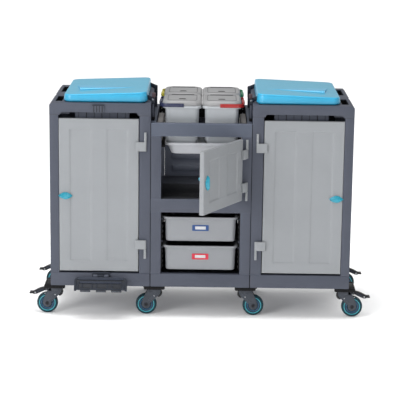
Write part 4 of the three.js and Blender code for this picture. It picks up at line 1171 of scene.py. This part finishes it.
def castor_fork(node, x, y, has_brake, g):
    """A swivelling fork: a crown, two broad cheeks that narrow to an ear round the axle."""
    axle_x = x + TRAIL
    crown_profile = [
        (7.8, 108.4), (22, 108.4), (27, 110), (29.4, 114), (30, 120), (30, 131), (29, 132.4),
        (27, 133), (27, 137.4), (26, 138.4), (7.8, 138.4),
    ]
    crown = put(lathe(node + "_crown", crown_profile, 40, "z"), at((x, y, 0)))
    outline = shifted([(-27, 126), (-29, 118), (-26, 106), (-16, 92), (-2, 79), (10, 66)], x)
    outline += arc(axle_x, WHEEL_RADIUS, 19, 160, 372, 18)
    outline += shifted([(58, 66), (52, 84), (44, 100), (36, 114), (28, 126)], x)
    rib = [(x - 18, 120), (x - 20, 112), (axle_x - 13, 66), (axle_x - 8, 70)]
    cap = [(0, 0), (9.4, 0), (9.4, 1.6), (8.4, 2.8), (6.6, 3.0), (6.2, 2.2), (0, 2.2)]
    nut = [(0, 1), (5.4, 1), (5.4, 3.4), (4.8, 4.2), (0, 4.2)]
    bolts = {"upper": (x + 2, 93, 3.2)}
    if has_brake:
        bolts["lever"] = (x + 50, 99, 2.6)
    pieces = [(crown, FORK_GREY)]
    for k, way in ENDS:
        flip = Matrix.Scale(way, 4, (0, 1, 0))
        face = y + way * CHEEK_OUT
        stem = at((axle_x, face - way * 0.6, WHEEL_RADIUS)) @ flip
        cheek = across(f"{node}_cheek_{k}", outline, y, way, CHEEK_IN, CHEEK_OUT, 1.1)
        bead = across(f"{node}_rib_{k}", rib, face, way, -0.5, 1.2, 0.6)
        pieces += [
            (cheek, FORK_GREY),
            (bead, FORK_GREY),
            (put(lathe(f"{node}_cap_{k}", cap, 32), stem), SHADE_SLATE),
            (put(lathe(f"{node}_nut_{k}", nut, 6), stem), CASTOR_BLACK),
        ]
        for name, (bolt_x, bolt_z, radius) in bolts.items():
            profile = [(0, 0), (radius, 0), (radius, 0.8), (0.6 * radius, 1.6), (0, 1.8)]
            head = lathe(f"{node}_{name}_bolt_{k}", profile, 20)
            pieces.append((put(head, at((bolt_x, face, bolt_z)) @ flip), STEEL))
        if has_brake:
            ear = arc(x + BRAKE_X, BRAKE_Z, 8, -90, 90) + [(x + 20, 132), (x + 20, 108)]
            lug = across(f"{node}_brake_ear_{k}", ear, y, way, CHEEK_IN, CHEEK_OUT, 1)
            pin = lathe(f"{node}_brake_pin_{k}", [(0, 0), (4, 0), (4, 1.6), (3, 2.2), (0, 2.2)], 20)
            put(pin, at((x + BRAKE_X, face, BRAKE_Z)) @ flip)
            pieces += [(lug, FORK_GREY), (pin, CASTOR_BLACK)]
    axle = lathe(node + "_axle", [(0, -20), (6, -20), (6, 20), (0, 20)], 24)
    pieces.append((put(axle, at((axle_x, y, WHEEL_RADIUS))), STEEL))
    pieces += [(piece, CASTOR_BLACK) for piece in fork_guard(node, x, y)]
    for piece, material in pieces:
        dress(piece, node, material, "castor_grey", g)
    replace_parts(crown, node)


def fork_guard(node, x, y):
    """The rounded black housing of the swivel lock, behind the fork's crown."""
    cx, cz = x - 12, 104
    outline = arc(cx, cz, 21, 100, 250, 12) + [(x - 10, 90), (x - 2, 112), (x - 2, 128)]
    fin = arc(cx, cz, 23.5, 110, 235, 12) + arc(cx, cz, 19, 235, 110, 12)
    return [
        prism(node + "_lock_housing", outline, "y", y - 17.2, y + 17.2, 3, 3),
        prism(node + "_lock_rim", fin, "y", y - 4, y + 4, 0.9),
    ]


def castor_wheel(node, x, y, g):
    place = at((x + TRAIL, y, WHEEL_RADIUS))
    # Each ring is the same on both sides of the wheel, so half its profile is enough.
    for name, half, material, segments in (
        ("tyre", [(38.4, 13.5), (39.6, 15), (44, 15.4), (47, 13.6), (49.2, 10), (50, 5)], TYRE, 72),
        ("ring", [(35.6, 13.8), (36, 14.8), (37.6, 15.2), (38.8, 14.7)], RING_CYAN, 64),
        ("rim", [(28.5, 12), (31, 14.4), (33.5, 14.6), (35.8, 13.8)], HUB_BLUE, 64),
        ("lip", [(25.2, 10), (26, 13.4), (28, 13.8), (28.9, 12)], HUB_LIGHT, 64),
        ("web", [(6.5, 9), (26, 9)], HUB_BLUE, 64),
        ("boss", [(6.5, 15.8), (11, 15.8), (12.4, 14.6), (13, 8)], FORK_GREY, 40),
    ):
        profile = [(r, -h) for r, h in half] + half[::-1]
        piece = put(lathe(f"{node}_{name}", profile, segments), place)
        dress(piece, node, material, "wheel_tyre", g)
        if name == "tyre":
            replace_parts(piece, node)
    spokes = 10
    for k in range(spokes):
        spoke = block(f"{node}_spoke_{k}", (12, -12.5, -1.4), (26, 12.5, 1.4), 0.7)
        put(spoke, place @ Matrix.Rotation(math.radians(360 * k / spokes), 4, "Y"))
        dress(spoke, node, HUB_BLUE, "wheel_tyre", g)


def castor_brake(node, x, y, g):
    """The foot lever: a deep arm that slopes out over the wheel to a flat, ribbed toe."""
    half = 12.6
    top = [(36, 126.2), (50, 125), (68, 121), (84, 115), (98, 107.6), (108, 102.6), (124, 100.4)]
    under = [
        (124, 96), (112, 95.4), (106, 91.6), (100, 90.2), (92, 91.6), (84, 95), (66, 103),
        (52, 109.6), (42, 112.6), (34, 117),
    ]
    toe = [(100, 99.8), (124.2, 99.8), (124.2, 97.6), (122, 96.2), (100, 96.2)]
    pad = [(58, 119.5), (80, 112.4), (90, 106.6), (88, 98.4), (60, 110)]
    pin = [(0, -13.6), (3.4, -13.6), (4.4, -12.6), (4.4, 12.6), (3.4, 13.6), (0, 13.6)]
    barrel = [(3.5, -16), (5.8, -16), (6.8, -14.6), (6.8, 14.6), (5.8, 16), (3.5, 16)]
    arm = prism(node + "_arm", shifted(top + under, x), "y", y - half, y + half, 1.3)
    pieces = [
        (arm, CASTOR_BLACK),
        (prism(node + "_toe", shifted(toe, x), "y", y - 22, y + 22, 0.9), CASTOR_BLACK),
        (put(lathe(node + "_knob", pin, 24), at((x + 98, y, 98))), STEEL),
        (put(lathe(node + "_barrel", barrel, 28), at((x + BRAKE_X, y, BRAKE_Z))), CASTOR_BLACK),
    ]
    for k in range(4):
        rib_x = x + 103 + 5.4 * k
        rib = block(f"{node}_rib_{k}", (rib_x, y - 19, 99), (rib_x + 1.8, y + 19, 100.5), 0.5)
        pieces.append((rib, FITTING))
    for k, way in ENDS:
        field = across(f"{node}_pad_{k}", shifted(pad, x), y + way * half, way, -0.5, 0.9, 0.6)
        pieces.append((field, FITTING))
    for piece, material in pieces:
        dress(piece, node, material, "fittings_dark", g)
    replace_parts(arm, node)


def build_castors():
    for side, g in SIDES.items():
        for column in ("outer", "inner"):
            for row in ROWS:
                name = f"{side}_{column}_{row}"
                at = joint_at(f"castor_swivel_right_{column}_{row}")
                has_brake = column == "outer"
                castor_mount(name, at.x, at.y, g)
                castor_fork("castor_fork_" + name, at.x, at.y, has_brake, g)
                castor_wheel("castor_wheel_" + name, at.x, at.y, g)
                if has_brake:
                    castor_brake("castor_brake_" + name, at.x, at.y, g)


build_castors()

# ---------------------------------------------------------------- studio


def build_floor():
    """A pale sweep that glows faintly, as paper does in a tent of light."""
    bm = bmesh.new()
    bmesh.ops.create_grid(bm, x_segments=12, y_segments=12, size=45.0)
    mesh = bpy.data.meshes.new("studio_floor")
    bm.to_mesh(mesh)
    bm.free()
    floor = bpy.data.objects.new("studio_floor", mesh)
    floor.location.z = -0.5 * MM
    bpy.context.scene.collection.objects.link(floor)
    paper = moulded("studio_paper", (0.90, 0.90, 0.90), 0.9, mottle=0.005, grain=0.02, shine=0.1)
    shader = paper.node_tree.nodes["Principled BSDF"]
    shader.inputs["Emission Color"].default_value = (1, 1, 1, 1)
    shader.inputs["Emission Strength"].default_value = 0.10
    floor.data.materials.append(paper)
    return floor


def area_light(name, place, aim, size, power):
    lamp = bpy.data.lights.new(name, "AREA")
    lamp.shape = "SQUARE"
    lamp.size = size
    lamp.energy = power
    piece = bpy.data.objects.new(name, lamp)
    piece.location = place
    piece.rotation_euler = (Vector(aim) - Vector(place)).to_track_quat("-Z", "Y").to_euler()
    bpy.context.scene.collection.objects.link(piece)
    return piece


def build_world():
    """A dim grey room that looks white where the camera sees it past the floor."""
    world = bpy.data.worlds.new("studio")
    world.use_nodes = True
    tree = world.node_tree
    room = tree.nodes["Background"]
    room.inputs["Color"].default_value = (1, 1, 1, 1)
    room.inputs["Strength"].default_value = 0.5
    backdrop = tree.nodes.new("ShaderNodeBackground")
    backdrop.inputs["Color"].default_value = (1, 1, 1, 1)
    backdrop.inputs["Strength"].default_value = 1.0
    path = tree.nodes.new("ShaderNodeLightPath")
    choice = tree.nodes.new("ShaderNodeMixShader")
    tree.links.new(path.outputs["Is Camera Ray"], choice.inputs["Fac"])
    tree.links.new(room.outputs["Background"], choice.inputs[1])
    tree.links.new(backdrop.outputs["Background"], choice.inputs[2])
    tree.links.new(choice.outputs["Shader"], tree.nodes["World Output"].inputs["Surface"])
    bpy.context.scene.world = world


def build_lights(floor):
    """A large soft key from the left front, a weak fill, a top light, a small lamp in the cupboard
    that the camera can't see, and a wide glow over the floor alone."""
    aim = (0, 0, 0.5)
    area_light("key", (-4.0, -4.6, 3.0), aim, 2.4, 172)
    area_light("fill", (3.8, -6.4, 2.2), aim, 2.6, 4)
    area_light("top", (-0.4, -0.6, 4.4), aim, 2.4, 75)
    cupboard = (0, MIDDLE_Y * MM - 0.02, 0.768)
    inside = area_light("cupboard_glow", cupboard, (0, BACK * MM, 0.67), 0.16, 0.55)
    inside.visible_camera = False
    lamp = bpy.data.lights.new("floor_glow", "SUN")
    lamp.energy = 1.85
    lamp.angle = math.radians(120)
    glow = bpy.data.objects.new("floor_glow", lamp)
    glow.rotation_euler = (math.radians(-14), math.radians(4), 0)
    bpy.context.scene.collection.objects.link(glow)
    lit = bpy.data.collections.new("lit_by_floor_glow")
    lit.objects.link(floor)
    glow.light_linking.receiver_collection = lit


def build_camera():
    """The photograph's view: in front, a little above the cart, through a long lens."""
    place = Vector((0.02705, -7.15997, 2.12891))
    yaw, pitch, roll = (math.radians(a) for a in (-0.25, 12.45, 0.72))
    level = math.cos(pitch)
    ahead = Vector((math.sin(yaw) * level, math.cos(yaw) * level, -math.sin(pitch)))
    right = Vector((math.cos(yaw), -math.sin(yaw), 0))
    up = right.cross(ahead)
    axis_x = right * math.cos(roll) + up * math.sin(roll)
    axis_y = up * math.cos(roll) - right * math.sin(roll)
    data = bpy.data.cameras.new("camera")
    data.sensor_width = 36.0
    data.lens = 139.61
    data.clip_end = 200.0
    camera = bpy.data.objects.new("camera", data)
    turn = Matrix((axis_x, axis_y, -ahead)).transposed().to_4x4()
    camera.matrix_world = Matrix.Translation(place) @ turn
    bpy.context.scene.collection.objects.link(camera)
    bpy.context.scene.camera = camera


STUDIO_FLOOR = build_floor()
build_world()
build_lights(STUDIO_FLOOR)
build_camera()
bpy.context.scene.view_settings.view_transform = "Standard"
